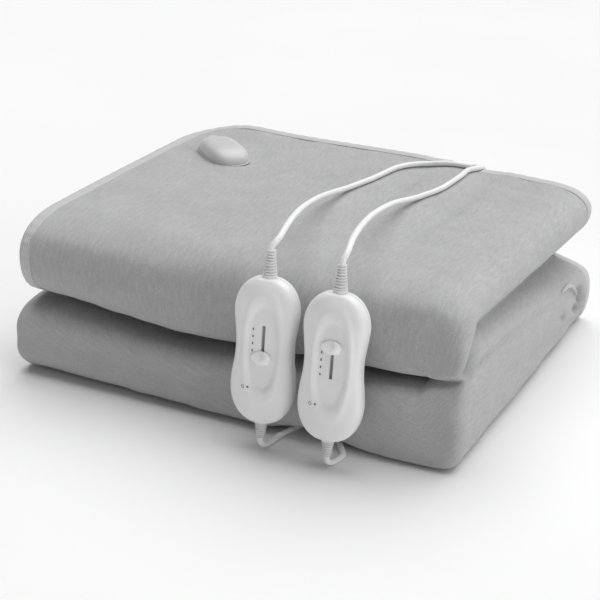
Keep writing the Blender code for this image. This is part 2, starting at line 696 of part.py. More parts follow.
def entry_top(sign, edge):
    """Where a lead goes into its relief at the back edge, heading down."""
    return (ENTRY["x"] + sign * ENTRY["spread"], BACK_EDGE + ENTRY["off"],
            edge - ENTRY["high"] + ENTRY["relief"] + JOIN)


UPPER_ROUTES = {          # x, y, z; z is None where the lead rests on the cloth
    "left": [(0.2692, -0.0060, 0.1782), (0.2659, 0.0099, 0.1800), (0.2583, 0.0360, 0.1780),
             (0.2472, 0.0733, 0.1720), (0.2370, 0.1133, 0.1640), (0.2295, 0.1508, 0.1560),
             (0.2266, 0.1823, 0.1495), (0.2272, 0.2060, 0.1455), (0.2305, 0.2244, None),
             (0.2350, 0.2452, None), (0.2386, 0.2644, None), (0.2425, 0.2823, None),
             (0.2480, 0.2975, None), (0.2555, 0.3095, None), (0.2645, 0.3165, None),
             (0.2745, 0.3205, None), (0.2835, 0.3245, None)],
    "right": [(0.3290, -0.0070, 0.1778), (0.3244, 0.0114, 0.1810), (0.3155, 0.0466, 0.1785),
              (0.3061, 0.0879, 0.1720), (0.2977, 0.1304, 0.1630), (0.2922, 0.1681, 0.1545),
              (0.2918, 0.1985, 0.1475), (0.2945, 0.2230, None), (0.2995, 0.2400, None),
              (0.3030, 0.2578, None), (0.3042, 0.2800, None), (0.3040, 0.3030, None),
              (0.3036, 0.3180, None)],
}


def upper_route(side, middle, turn, carrier):
    """Lead from a controller's top boot, over the top, to the entry block behind."""
    tip, heading = boot_tip(middle, turn, "top")
    start = [tuple(tip), tuple(tip + heading * 0.002)]
    along = [(x, y, carrier.under_lead(x, y) if z is None else z)
             for x, y, z in UPPER_ROUTES[side]]
    edge = entry_edge(carrier)
    x, y, z = entry_top(-1 if side == "left" else 1, edge)
    over = [(x, BACK_EDGE - 0.0080, edge + 0.0052), (x, BACK_EDGE + 0.0030, edge + 0.0042),
            (x, y - 0.0006, edge - 0.0035), (x, y, z)]
    return start + along + over


def coil_centre(sign):
    return COIL["middles"][sign > 0], BACK_EDGE + COIL["behind"]


def lower_route(side, middle, turn):
    """Mains lead from a bottom boot, down, back through the passage, to its coil."""
    tip, heading = boot_tip(middle, turn, "bottom")
    sign = -1 if side == "left" else 1
    x, y, z = tip
    inner = PASSAGE["x"] + sign * 0.0115
    centre_x, centre_y = coil_centre(sign)
    outer = COIL["mean"] + COIL["half_wide"] + JOIN
    meet_x = centre_x - sign * COIL["mean"]
    meet_y = centre_y - math.sqrt(outer ** 2 - (COIL["mean"] - CORD / 2) ** 2) - 0.0004
    return [
        (x, y, z), (x + heading.x * 0.003, y + heading.y * 0.003, z + heading.z * 0.003),
        (x + 0.0012, y + 0.0050, LIE + 0.0010), (x + 0.0030, y + 0.0135, LIE),
        (x + 0.0035, y + 0.0225, LIE), (0.55 * x + 0.45 * inner, 0.0080, LIE),
        (inner + sign * 0.0025, 0.0280, LIE), (inner, 0.050, LIE), (inner, 0.120, LIE),
        (inner, 0.200, LIE), (inner, 0.280, LIE), (inner, BACK_EDGE - 0.010, LIE),
        (0.85 * inner + 0.15 * meet_x, BACK_EDGE + 0.008, LIE),
        (0.40 * inner + 0.60 * meet_x, BACK_EDGE + 0.030, LIE),
        (meet_x, meet_y - 0.008, LIE), (meet_x, meet_y, LIE),
    ]


def make_coil(side, materials, collection):
    sign = -1 if side == "left" else 1
    centre_x, centre_y = coil_centre(sign)
    low, high = 0.0003, 0.0003 + COIL["high"]
    inner, outer = COIL["mean"] - COIL["half_wide"], COIL["mean"] + COIL["half_wide"]
    round_off = 0.0025
    profile = [(outer - round_off, high), (outer, high - round_off), (outer, low + round_off),
               (outer - round_off, low), (inner + round_off, low), (inner, low + round_off),
               (inner, high - round_off), (inner + round_off, high), (outer - round_off, high)]
    coil = turned(f"mains_coil_{side}", profile, materials["lead"], collection, steps=28)
    coil.location = (centre_x, centre_y, 0)
    exit_x = centre_x + sign * (math.sqrt(outer ** 2 - (COIL["mean"] - CORD / 2) ** 2) + 0.0007)
    exit_y = centre_y + COIL["mean"]
    lift = PLUG["half_height"] + 0.0003
    plug_x = exit_x + sign * PLUG["tail"]
    make_cord(f"mains_tail_{side}", [
        (exit_x, exit_y, LIE), (exit_x + sign * 0.005, exit_y, LIE + 0.0010),
        (plug_x - sign * 0.004, exit_y, lift), (plug_x, exit_y, lift),
    ], materials["lead"], collection)
    plug = bpy.data.objects.new(f"plug_{side}_frame", None)
    plug.location = (plug_x + sign * JOIN, exit_y, lift)
    plug.rotation_euler = (0, 0, 0 if sign > 0 else math.pi)
    collection.objects.link(plug)
    rings = []
    for along, width, height in ((0, 0.30, 0.62), (0.16, 0.42, 0.72), (0.34, 0.88, 1.0),
                                 (0.75, 1.0, 1.0), (1.0, 0.96, 0.92)):
        ring = []
        for i in range(12):
            cosine, sine = superellipse(2 * math.pi * i / 12, 2.6)
            ring.append((along * PLUG["length"], width * PLUG["half_width"] * cosine,
                         height * PLUG["half_height"] * sine))
        rings.append(ring)
    loft(f"plug_{side}", rings, materials["lead"], collection, plug)
    for number, across in enumerate((-1, 1), start=1):
        pin = turned(f"plug_{side}_pin_{number}", [
            (0, PLUG["pin"]), (PLUG["pin_radius"] * 0.6, PLUG["pin"]),
            (PLUG["pin_radius"], PLUG["pin"] - 0.001), (PLUG["pin_radius"], 0), (0, 0),
        ], materials["pin"], collection, plug, steps=10)
        pin.location = (PLUG["length"] + JOIN, across * PLUG["pin_spread"], 0)
        pin.rotation_euler = (0, math.pi / 2, 0)


def make_entry(materials, collection, carrier):
    """Soft block sewn behind the bound edge, where both upper leads go into the cloth."""
    edge = entry_edge(carrier)
    high, low = edge - ENTRY["high"], edge - ENTRY["low"]
    middle = BACK_EDGE + JOIN + ENTRY["thick"] / 2
    rings = []
    for share, height in ((0.90, low), (1.0, low + 0.003), (1.0, high - 0.003), (0.90, high)):
        ring = []
        for i in range(16):
            cosine, sine = superellipse(2 * math.pi * i / 16, 5)
            ring.append((ENTRY["x"] + share * ENTRY["half_width"] * cosine,
                         middle + share * ENTRY["thick"] / 2 * sine, height))
        rings.append(ring)
    loft("lead_entry", rings, materials["boot"], collection)
    for side, sign in (("left", -1), ("right", 1)):
        x, y, z = entry_top(sign, edge)
        relief = turned(f"lead_entry_relief_{side}", [
            (0, ENTRY["relief"] - JOIN), (0.0030, ENTRY["relief"] - JOIN), (0.0040, 0), (0, 0),
        ], materials["boot"], collection, steps=12)
        relief.location = (x, y, high + JOIN)


# ---- materials and the whole --------------------------------------------------------
def to_linear(hex_colour):
    values = [int(hex_colour[i:i + 2], 16) / 255 for i in (0, 2, 4)]
    return [v / 12.92 if v <= 0.04045 else ((v + 0.055) / 1.055) ** 2.4 for v in values] + [1]


def plain_material(name, hex_colour, roughness, metallic=0.0):
    material = bpy.data.materials.new(name)
    material.use_nodes = True
    shader = material.node_tree.nodes["Principled BSDF"]
    shader.inputs["Base Color"].default_value = to_linear(hex_colour)
    shader.inputs["Roughness"].default_value = roughness
    shader.inputs["Metallic"].default_value = metallic
    return material


def centre_on_base(collection, leads):
    """Moves everything so the origin is the middle of the base, leads left out."""
    bpy.context.view_layer.update()
    graph = bpy.context.evaluated_depsgraph_get()
    low, high = np.full(3, np.inf), np.full(3, -np.inf)
    for piece in collection.objects:
        if piece.type == "EMPTY" or piece.name.startswith(leads):
            continue
        shape = piece.evaluated_get(graph).to_mesh()
        points = np.empty(len(shape.vertices) * 3, dtype=np.float32)
        shape.vertices.foreach_get("co", points)
        points = points.reshape(-1, 3) @ np.array(piece.matrix_world.to_3x3()).T
        points = points + np.array(piece.matrix_world.translation)
        low, high = np.minimum(low, points.min(axis=0)), np.maximum(high, points.max(axis=0))
    middle = (low + high) / 2
    for piece in collection.objects:
        if piece.parent is None:
            piece.location -= Vector((middle[0], middle[1], 0.0))
    return middle


def main():
    for old in list(bpy.data.objects):
        bpy.data.objects.remove(old, do_unlink=True)
    collection = bpy.data.collections.new("electric_heated_blanket")
    cutters = bpy.data.collections.new("cutters")
    bpy.context.scene.collection.children.link(collection)
    bpy.context.scene.collection.children.link(cutters)
    materials = {
        "fleece": plain_material("grey fleece", "BDBDBD", 0.95),
        "tape": plain_material("woven tape", "CFCFCF", 0.85),
        "casing": plain_material("moulded casing", "E2E2E2", 0.38),
        "knob": plain_material("moulded knob", "ECECEC", 0.32),
        "boot": plain_material("soft PVC boot", "D4D4D4", 0.50),
        "lead": plain_material("PVC lead", "E4E4E4", 0.42),
        "pin": plain_material("plated pin", "C9C2AE", 0.25, 1.0),
    }
    blanket = make_blanket(materials["fleece"], collection)
    binding = make_binding(materials["tape"], collection)
    carrier = Lie((blanket, binding))
    make_connector(materials, collection, carrier)
    make_entry(materials, collection, carrier)
    for side, middle, turn, knob_place in CONTROLLERS:
        make_controller(side, middle, turn, knob_place, materials, collection, cutters)
        make_cord(f"blanket_lead_{side}", upper_route(side, middle, turn, carrier),
                  materials["lead"], collection, carrier)
        make_cord(f"mains_lead_{side}", lower_route(side, middle, turn),
                  materials["lead"], collection)
        make_coil(side, materials, collection)
    middle = centre_on_base(collection, ("blanket_lead", "mains_", "plug_"))
    for cutter in cutters.objects:
        cutter.hide_render = True
    print("origin in the stack's own coordinates", [round(float(v), 5) for v in middle])


main()
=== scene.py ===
import math

import bmesh
import bpy
import numpy as np
from mathutils import Euler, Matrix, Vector
from mathutils.bvhtree import BVHTree


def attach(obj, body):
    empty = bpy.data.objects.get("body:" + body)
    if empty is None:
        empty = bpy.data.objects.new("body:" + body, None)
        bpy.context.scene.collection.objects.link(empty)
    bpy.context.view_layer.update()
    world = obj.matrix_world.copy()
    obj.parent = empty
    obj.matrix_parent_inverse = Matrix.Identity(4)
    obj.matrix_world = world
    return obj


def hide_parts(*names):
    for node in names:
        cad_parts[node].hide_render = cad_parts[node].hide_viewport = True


# An electric heated underblanket folded into a stack, its two slider controllers in front.
# All shapes are worked out in the stack's own coordinates (x from the bound end, y from the
# front folds, z from the table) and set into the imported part's frame by inFrame.

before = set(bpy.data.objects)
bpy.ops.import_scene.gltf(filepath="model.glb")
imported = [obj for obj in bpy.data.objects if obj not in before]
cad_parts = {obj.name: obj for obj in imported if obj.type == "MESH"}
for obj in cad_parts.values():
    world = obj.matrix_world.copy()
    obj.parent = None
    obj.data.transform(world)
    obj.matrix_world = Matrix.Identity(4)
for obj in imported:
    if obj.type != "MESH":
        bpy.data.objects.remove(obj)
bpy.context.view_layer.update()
print("frame loaded:", len(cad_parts), "nodes")

stack = {"originX": 0.21229, "originY": 0.15611}


def inFrame(points):
    return np.asarray(points, dtype=float) - np.array([stack["originX"], stack["originY"], 0.0])


# camera: the photograph's view, a long lens a little above the stack
viewpoint = {"target": (0.198, 0.170, 0.0417), "azimuth": 26.96, "elevation": 23.83,
             "distance": 1.4012, "lens": 90.0}


def makeCamera():
    # it stands back from the target along a direction given by azimuth and elevation
    a, e = math.radians(viewpoint["azimuth"]), math.radians(viewpoint["elevation"])
    back = Vector((math.sin(a) * math.cos(e), -math.cos(a) * math.cos(e), math.sin(e)))
    camera = bpy.data.objects.new("camera", bpy.data.cameras.new("camera"))
    camera.data.lens = viewpoint["lens"]
    camera.data.sensor_width = 36.0
    camera.location = Vector(inFrame(viewpoint["target"])) + back * viewpoint["distance"]
    camera.rotation_euler = (-back).to_track_quat("-Z", "Y").to_euler()
    bpy.context.scene.collection.objects.link(camera)
    bpy.context.scene.camera = camera


makeCamera()
print("camera set")


# materials
def toLinear(hexColour):
    # sRGB hex to linear light: each channel through the sRGB transfer curve
    values = [int(hexColour[i:i + 2], 16) / 255 for i in (0, 2, 4)]
    return [v / 12.92 if v <= 0.04045 else ((v + 0.055) / 1.055) ** 2.4 for v in values] + [1.0]


def addNode(tree, kind, settings=None, inputs=None, links=None):
    # one shader node with its settings, its input values and the sockets linked into it
    node = tree.nodes.new(kind)
    for key, value in (settings or {}).items():
        setattr(node, key, value)
    for key, value in (inputs or {}).items():
        node.inputs[key].default_value = value
    for key, (source, socket) in (links or {}).items():
        tree.links.new(source.outputs[socket], node.inputs[key])
    return node


def newMaterial(name, roughness, metallic=0.0, sheen=0.0, coat=0.0):
    # a shader with the index of refraction of plastics and fibres
    material = bpy.data.materials.new(name)
    material.use_nodes = True
    tree = material.node_tree
    shader = tree.nodes["Principled BSDF"]
    shader.inputs["Roughness"].default_value = roughness
    shader.inputs["IOR"].default_value = 1.5
    shader.inputs["Metallic"].default_value = metallic
    shader.inputs["Sheen Weight"].default_value = sheen
    shader.inputs["Sheen Roughness"].default_value = 0.5
    shader.inputs["Coat Weight"].default_value = coat
    return material, tree, shader


def colourRamp(tree, source, socket, stops):
    # colour between hex stops, by the value of the linked socket
    ramp = addNode(tree, "ShaderNodeValToRGB", links={"Fac": (source, socket)})
    elements = ramp.color_ramp.elements
    for element, (place, colour) in zip(elements, (stops[0], stops[-1])):
        element.position, element.color = place, toLinear(colour)
    for place, colour in stops[1:-1]:
        elements.new(place).color = toLinear(colour)
    return ramp


def fleeceMaterial():
    # polyester fleece, knitted and brushed: a short matted pile, dull, with a soft sheen at
    # grazing angles; pile clumps about 1.2 mm, a nap that runs across the sheet in streaks
    # about 3 mm wide and 12 mm long, and slow patches 30 mm wide where it lies another way
    material, tree, shader = newMaterial("brushedPolyesterFleece", 0.92, sheen=0.18)
    places = addNode(tree, "ShaderNodeTexCoord")
    nap = addNode(tree, "ShaderNodeMapping", inputs={"Scale": (330.0, 85.0, 1.0)},
                  links={"Vector": (places, "UV")})
    streaks = addNode(tree, "ShaderNodeTexNoise", inputs={"Scale": 1.0, "Detail": 3.0},
                      links={"Vector": (nap, "Vector")})
    pile = addNode(tree, "ShaderNodeTexNoise",
                   inputs={"Scale": 850.0, "Detail": 2.5, "Roughness": 0.65},
                   links={"Vector": (places, "Object")})
    patches = addNode(tree, "ShaderNodeTexNoise", inputs={"Scale": 33.0, "Detail": 2.0},
                      links={"Vector": (places, "Object")})
    thin = addNode(tree, "ShaderNodeMath", {"operation": "MULTIPLY"}, {1: 0.30},
                   {0: (streaks, "Fac")})
    fine = addNode(tree, "ShaderNodeMath", {"operation": "MULTIPLY_ADD"}, {1: 0.45},
                   {0: (pile, "Fac"), 2: (thin, "Value")})
    both = addNode(tree, "ShaderNodeMath", {"operation": "MULTIPLY_ADD"}, {1: 0.15},
                   {0: (patches, "Fac"), 2: (fine, "Value")})
    colour = colourRamp(tree, both, "Value", [(0.33, "A5A5A6"), (0.45, "B1B1B2"), (0.57, "BDBDBE")])
    tree.links.new(colour.outputs["Color"], shader.inputs["Base Color"])
    bump = addNode(tree, "ShaderNodeBump", inputs={"Strength": 0.40, "Distance": 0.0009},
                   links={"Height": (fine, "Value")})
    tree.links.new(bump.outputs["Normal"], shader.inputs["Normal"])
    return material


def tapeMaterial():
    # knitted polyester binding tape, paler and a little smoother than the fleece: courses of
    # stitches run along it every 2.2 mm (real ones are 1 mm, drawn coarser so that they show)
    material, tree, shader = newMaterial("knittedBindingTape", 0.80, sheen=0.12)
    places = addNode(tree, "ShaderNodeTexCoord")
    ribs = addNode(tree, "ShaderNodeTexWave", {"wave_type": "BANDS", "bands_direction": "Y"},
                   {"Scale": 143.0, "Distortion": 0.5, "Detail": 1.0}, {"Vector": (places, "UV")})
    fuzz = addNode(tree, "ShaderNodeTexNoise", inputs={"Scale": 900.0, "Detail": 2.0},
                   links={"Vector": (places, "Object")})
    both = addNode(tree, "ShaderNodeMath", {"operation": "MULTIPLY_ADD"}, {1: 0.6},
                   {0: (fuzz, "Fac"), 2: (ribs, "Fac")})
    colour = colourRamp(tree, both, "Value", [(0.2, "B2B2B2"), (1.2, "CDCDCD")])
    tree.links.new(colour.outputs["Color"], shader.inputs["Base Color"])
    bump = addNode(tree, "ShaderNodeBump", inputs={"Strength": 0.4, "Distance": 0.0003},
                   links={"Height": (both, "Value")})
    tree.links.new(bump.outputs["Normal"], shader.inputs["Normal"])
    return material


def plasticMaterial(name, pale, deep, roughness, grain, depth, coat=0.0):
    # a moulded plastic: one colour with a slow drift, and the tool's fine grain as bump
    material, tree, shader = newMaterial(name, roughness, coat=coat)
    places = addNode(tree, "ShaderNodeTexCoord")
    drift = addNode(tree, "ShaderNodeTexNoise", inputs={"Scale": 45.0, "Detail": 2.0},
                    links={"Vector": (places, "Object")})
    colour = colourRamp(tree, drift, "Fac", [(0.35, deep), (0.65, pale)])
    tree.links.new(colour.outputs["Color"], shader.inputs["Base Color"])
    texture = addNode(tree, "ShaderNodeTexNoise", inputs={"Scale": grain, "Detail": 2.0},
                      links={"Vector": (places, "Object")})
    bump = addNode(tree, "ShaderNodeBump", inputs={"Strength": 0.25, "Distance": depth},
                   links={"Height": (texture, "Fac")})
    tree.links.new(bump.outputs["Normal"], shader.inputs["Normal"])
    return material


def metalMaterial():
    # nickel-plated brass pin: turned and plated, bright, a little worn in fine patches
    material, tree, shader = newMaterial("nickelPlatedBrass", 0.22, metallic=1.0)
    places = addNode(tree, "ShaderNodeTexCoord")
    wear = addNode(tree, "ShaderNodeTexNoise", inputs={"Scale": 400.0, "Detail": 3.0},
                   links={"Vector": (places, "Object")})
    colour = colourRamp(tree, wear, "Fac", [(0.3, "BDB8AC"), (0.7, "D2CEC4")])
    tree.links.new(colour.outputs["Color"], shader.inputs["Base Color"])
    return material


def floorMaterial():
    # painted studio table: matt, nearly white
    material, tree, shader = newMaterial("mattPaint", 0.9)
    places = addNode(tree, "ShaderNodeTexCoord")
    drift = addNode(tree, "ShaderNodeTexNoise", inputs={"Scale": 3.0},
                    links={"Vector": (places, "Object")})
    colour = colourRamp(tree, drift, "Fac", [(0.3, "F3F3F3"), (0.7, "F6F6F6")])
    tree.links.new(colour.outputs["Color"], shader.inputs["Base Color"])
    return material


finishes = {
    "fleece": fleeceMaterial(),
    "tape": tapeMaterial(),
    # ABS shells from a fine spark-eroded tool: satin, grain about 0.4 mm
    "casing": plasticMaterial("mouldedAbs", "F5F5F5", "F2F2F2", 0.36, 2400.0, 0.00004, coat=0.15),
    # the slider caps from a polished tool: glossier and whiter
    "knob": plasticMaterial("polishedAbs", "F9F9F9", "F7F7F7", 0.26, 1800.0, 0.00003, coat=0.3),
    # soft PVC overmoulded on the leads' ends: satin
    "boot": plasticMaterial("softPvc", "EAEAEA", "E6E6E6", 0.50, 1600.0, 0.00005),
    # extruded PVC sheath: smooth, slightly wavy gloss
    "lead": plasticMaterial("extrudedPvc", "F6F6F6", "F3F3F3", 0.38, 700.0, 0.00006),
    # the connector sewn on the cloth: same ABS in a greyer shade
    "connector": plasticMaterial("greyAbs", "CFCFCF", "CBCBCB", 0.38, 2400.0, 0.00004),
    # pad-printed ink: thin, dull grey
    "ink": plasticMaterial("padPrintInk", "747474", "6E6E6E", 0.6, 2000.0, 0.00002),
    # the dust guard behind a slider's slot: natural nylon, dull and a little greyer
    "guard": plasticMaterial("guardNylon", "D4D4D4", "D0D0D0", 0.7, 1500.0, 0.00003),
    "pin": metalMaterial(),
    # twisted tie: paper-covered, matt white
    "tie": plasticMaterial("tieStrip", "DADADA", "D2D2D2", 0.7, 900.0, 0.00005),
}
print("materials made:", len(finishes))


# surfaces
def superEllipse(angle, power):
    # a unit superellipse by its polar angle: cosine and sine over the power norm of both
    cosine, sine = np.cos(angle), np.sin(angle)
    norm = (np.abs(cosine) ** power + np.abs(sine) ** power) ** (1 / power)
    return cosine / norm, sine / norm


def smoothStep(value):
    # the cubic that eases from 0 to 1
    value = np.clip(value, 0.0, 1.0)
    return value * value * (3 - 2 * value)


def gridQuads(rows, columns, loopRows=False, loopColumns=False, start=0):
    # quads over a grid of points numbered row by row: each joins a point, the next in its
    # row, and the same two of the row after
    i = np.arange(rows if loopRows else rows - 1)[:, None]
    j = np.arange(columns if loopColumns else columns - 1)[None, :]
    nextI, nextJ = (i + 1) % rows, (j + 1) % columns
    corners = np.broadcast_arrays(i * columns + j, i * columns + nextJ,
                                  nextI * columns + nextJ, nextI * columns + j)
    return start + np.stack(corners, axis=-1).reshape(-1, 4)


# points that stand closer than this are merged into one
weld = 0.000004


def addPiece(name, points, faces, body, finish, uv=None, sharp=None, merge=None):
    # a closed mesh from arrays: doubles merged, faces turned outwards, smooth, on its body
    mesh = bpy.data.meshes.new(name)
    mesh.from_pydata(inFrame(points).reshape(-1, 3).tolist(), [], [list(f) for f in faces])
    if uv is not None:
        corner = np.empty(len(mesh.loops), dtype=np.int32)
        mesh.loops.foreach_get("vertex_index", corner)
        mesh.uv_layers.new(name="flat").data.foreach_set("uv", uv.reshape(-1, 2)[corner].ravel())
    shape = bmesh.new()
    shape.from_mesh(mesh)
    if merge:
        bmesh.ops.remove_doubles(shape, verts=shape.verts, dist=merge)
        bmesh.ops.dissolve_degenerate(shape, edges=shape.edges, dist=merge * 0.5)
    bmesh.ops.recalc_face_normals(shape, faces=shape.faces)
    if shape.calc_volume(signed=True) < 0:
        bmesh.ops.reverse_faces(shape, faces=shape.faces)
    shape.to_mesh(mesh)
    shape.free()
    mesh.shade_smooth()
    if sharp:
        mesh.set_sharp_from_angle(angle=math.radians(sharp))
    piece = bpy.data.objects.new(name, mesh)
    bpy.context.scene.collection.objects.link(piece)
    mesh.materials.append(finishes[finish])
    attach(piece, body)
    return piece


def closedSheet(top, under):
    # two grids of the same shape, face to face, joined by quads round their rim
    rows, columns = top.shape[:2]
    count = rows * columns
    rim = np.concatenate([np.arange(columns), np.arange(2, rows + 1) * columns - 1,
                          (rows - 1) * columns + np.arange(columns - 2, -1, -1),
                          np.arange(rows - 2, 0, -1) * columns])
    following = np.roll(rim, -1)
    side = np.stack([following, rim, rim + count, following + count], axis=-1)
    faces = np.concatenate([gridQuads(rows, columns),
                            gridQuads(rows, columns, start=count)[:, ::-1], side])
    return np.concatenate([top.reshape(-1, 3), under.reshape(-1, 3)]), faces


def turnedSurface(profile, steps):
    # a profile of (radius, height) pairs, from axis to axis, turned about Z: each radius
    # times the cosine and the sine of the angle
    profile = np.asarray(profile, dtype=float)
    angle = np.linspace(0, 2 * math.pi, steps, endpoint=False)
    radius, height = profile[:, 0][:, None], profile[:, 1][:, None]
    points = np.stack([radius * np.cos(angle), radius * np.sin(angle),
                       height + 0 * angle], axis=-1)
    return points, gridQuads(len(profile), steps, loopColumns=True)


def placed(points, location, rotation):
    # points turned by an XYZ Euler rotation and moved to a location
    turn = np.array(Euler(rotation).to_matrix())
    return np.asarray(points) @ turn.T + np.array(location)


def throughPoints(table, count):
    # even steps of the parameter on the Catmull-Rom curve through the rows of a table
    route = np.asarray(table, dtype=float)
    padded = np.vstack([2 * route[0] - route[1], route, 2 * route[-1] - route[-2]])
    t = np.linspace(0, len(route) - 1, count)
    leg = np.minimum(t.astype(int), len(route) - 2)
    f = (t - leg)[:, None]
    before, start, end, after = (padded[leg + k] for k in range(4))
    return 0.5 * (2 * start + (end - before) * f
                  + (2 * before - 5 * start + 4 * end - after) * f ** 2
                  + (3 * start - before - 3 * end + after) * f ** 3)


def evenlyAlong(points, spacing):
    # points moved along their own line so that they stand one spacing apart
    steps = np.linalg.norm(np.diff(points, axis=0), axis=1)
    along = np.concatenate([[0], np.cumsum(steps)])
    stops = np.linspace(0, along[-1], max(3, int(round(along[-1] / spacing)) + 1))
    return np.stack([np.interp(stops, along, points[:, i]) for i in range(3)], axis=1)


# the folded cloth
# One sheet folded in half along X, in half twice along Y, and in half along X once more:
# sixteen layers. A flat place (u along the sheet, v across it) and a height off the cloth's
# middle are carried through the four folds.
cloth = {
    "thickness": 0.0040, "pitch": 0.0090, "parting": 0.0020, "backEdge": 0.3425,
    "rightTip": 0.4250, "tapeWidth": 0.0100, "join": 0.0003, "corner": 0.0600,
    "loopInset": 0.004,
    "turnReach": 0.75, "turnPowers": (2.9, 8.0), "innerReach": 1.2,
    "upperLeft": 0.0045, "lowerLeft": 0.0055,
    "upperLength": 0.370, "turnLength": 0.118, "lowerLength": 0.365,
    # flat lengths of the folded section: top run, outer nose, second run, back loop,
    # third run, inner nose, last run
    "section": (0.262, 0.182, 0.243, 0.0090 * math.pi, 0.243, 0.060, 0.262),
    # front folds, from the upper left end round the right-hand turn to the lower left end:
    # place along the halved sheet, reach over half height outside and inside, power,
    # depth of the inner fold, front-most place
    "noses": [(0.000, 1.70, 1.10, 2.30, 0.064, 0.0050),
              (0.270, 1.70, 1.08, 2.50, 0.064, 0.0020),
              (0.370, 1.45, 1.00, 3.30, 0.064, 0.0000),
              (0.429, 1.00, 1.00, 7.00, 0.052, 0.0000),
              (0.488, 1.00, 1.00, 5.00, 0.040, -0.0050),
              (0.853, 1.05, 1.10, 2.60, 0.039, -0.0050)],
}
halfLength = cloth["upperLength"] + cloth["turnLength"] + cloth["lowerLength"]
halfFold = math.pi * cloth["pitch"] / 2
sheetLength, sheetWidth = 2 * halfLength + halfFold, sum(cloth["section"])
outermost = 3.5 * cloth["pitch"] + cloth["thickness"] / 2
turnRadius = 4 * cloth["pitch"] + cloth["parting"] / 2
stackHeight = 2 * (turnRadius + outermost)
loopY = cloth["backEdge"] - cloth["loopInset"] - 1.5 * cloth["pitch"] - cloth["thickness"] / 2
edge = cloth["tapeWidth"] + cloth["join"]

# how the pile of cloth has settled
settling = {
    # the right-hand end starts at x and is full after a distance; what is in front fades
    # over a distance from the front
    "endFrom": 0.30, "endOver": 0.11, "frontReach": 0.13,
    # the passage under the stack that the mains leads run through
    "passage": {"x": 0.295, "halfWidth": 0.052, "lift": 0.0100, "fadesAt": 0.060},
    # the notch in the right-hand end, in front and at the back: height, depth, how far it
    # reaches up and down
    "notch": {"front": (0.1065, 0.0130, 0.0090, 0.0055), "back": (0.0645, 0.0380, 0.0290, 0.0075),
              "from": 0.030, "to": 0.3425, "starts": 0.001, "eases": 0.018,
              "hook": 0.021, "hookEnds": 0.045,
              "powers": (1.8, 1.4)},
    # faint lines in the right-hand end: height in front and at the back, depth, width; they
    # fade from a distance behind the front, over another, by a share
    "lines": [(0.089, 0.046, 0.0032, 0.0055), (0.053, 0.010, 0.0018, 0.0060)],
    "linesFade": (0.20, 0.14, 0.8),
    # the front crease past the parting's end: from x to x, heights there, depth, width
    "crease": {"from": 0.345, "to": 0.425, "heights": (0.0730, 0.0830), "depth": 0.0090,
               "width": 0.0060},
    # the parting's end is drawn out to the right and pinched flat: where it sets in, where
    # the end lies, where it fades, height, how far drawn, reach along z, share pinched
    "mouth": {"from": 0.330, "end": 0.375, "to": 0.425, "height": 0.0790, "drawn": 0.0240,
              "reach": 0.0180, "pinch": 0.65, "pinchReach": 0.0160},
    # the upper fold droops over the lower one: x, z, by how much, reach along x and z
    "droop": (0.185, 0.075, -0.0155, 0.150, 0.0300),
    # swells and troughs on the top: x, y, height, reach along x, reach along y
    "swells": [(0.360, 0.060, 0.0050, 0.120, 0.110), (0.400, 0.345, -0.0070, 0.090, 0.120),
               (0.000, 0.345, -0.0028, 0.036, 0.050), (0.326, 0.215, -0.0060, 0.011, 0.100),
               (0.264, 0.235, -0.0048, 0.011, 0.085), (0.090, 0.130, 0.0015, 0.090, 0.090),
               (0.3035, 0.345, -0.0042, 0.015, 0.026), (0.030, 0.265, -0.0024, 0.013, 0.022),
               (0.046, 0.335, 0.0030, 0.045, 0.040), (0.106, 0.254, -0.0022, 0.011, 0.022)],
    # small gaps between the layers at the back of the right-hand end: y, z, depth, reach
    # along y, reach along z; they fall by the slope towards the back
    "gaps": [(0.3070, 0.0445, 0.0100, 0.0070, 0.0020), (0.3120, 0.0335, 0.0150, 0.0080, 0.0030),
             (0.3035, 0.0266, 0.0130, 0.0100, 0.0026), (0.2590, 0.0350, 0.0060, 0.0070, 0.0026)],
    "gapSlope": -0.45,
    # hollows in the front: x, z, depth, reach along x, reach along z
    "hollows": [(0.395, 0.110, 0.004, 0.030, 0.020), (0.400, 0.040, 0.004, 0.030, 0.022),
                (0.215, 0.085, 0.004, 0.030, 0.030)],
}


def halveAlong(u, face):
    # first fold: a is the distance from the open end, c the offset from the doubled middle;
    # round the fold a goes out by a sine and c turns over by a cosine
    turn = np.clip((u - halfLength) / halfFold, 0, 1) * math.pi
    reach = cloth["pitch"] / 2 + face
    along = np.minimum(np.minimum(u, sheetLength - u), halfLength)
    return along + reach * np.sin(turn), reach * np.cos(turn)


def noseAt(a):
    # the front fold's sizes at a place along the sheet, eased from row to row of the table
    table = np.array(cloth["noses"])
    leg = np.clip(np.searchsorted(table[:, 0], a, side="right") - 1, 0, len(table) - 2)
    share = smoothStep((a - table[leg, 0]) / (table[leg + 1, 0] - table[leg, 0]))
    return [table[leg, k] + (table[leg + 1, k] - table[leg, k]) * share for k in range(1, 6)]


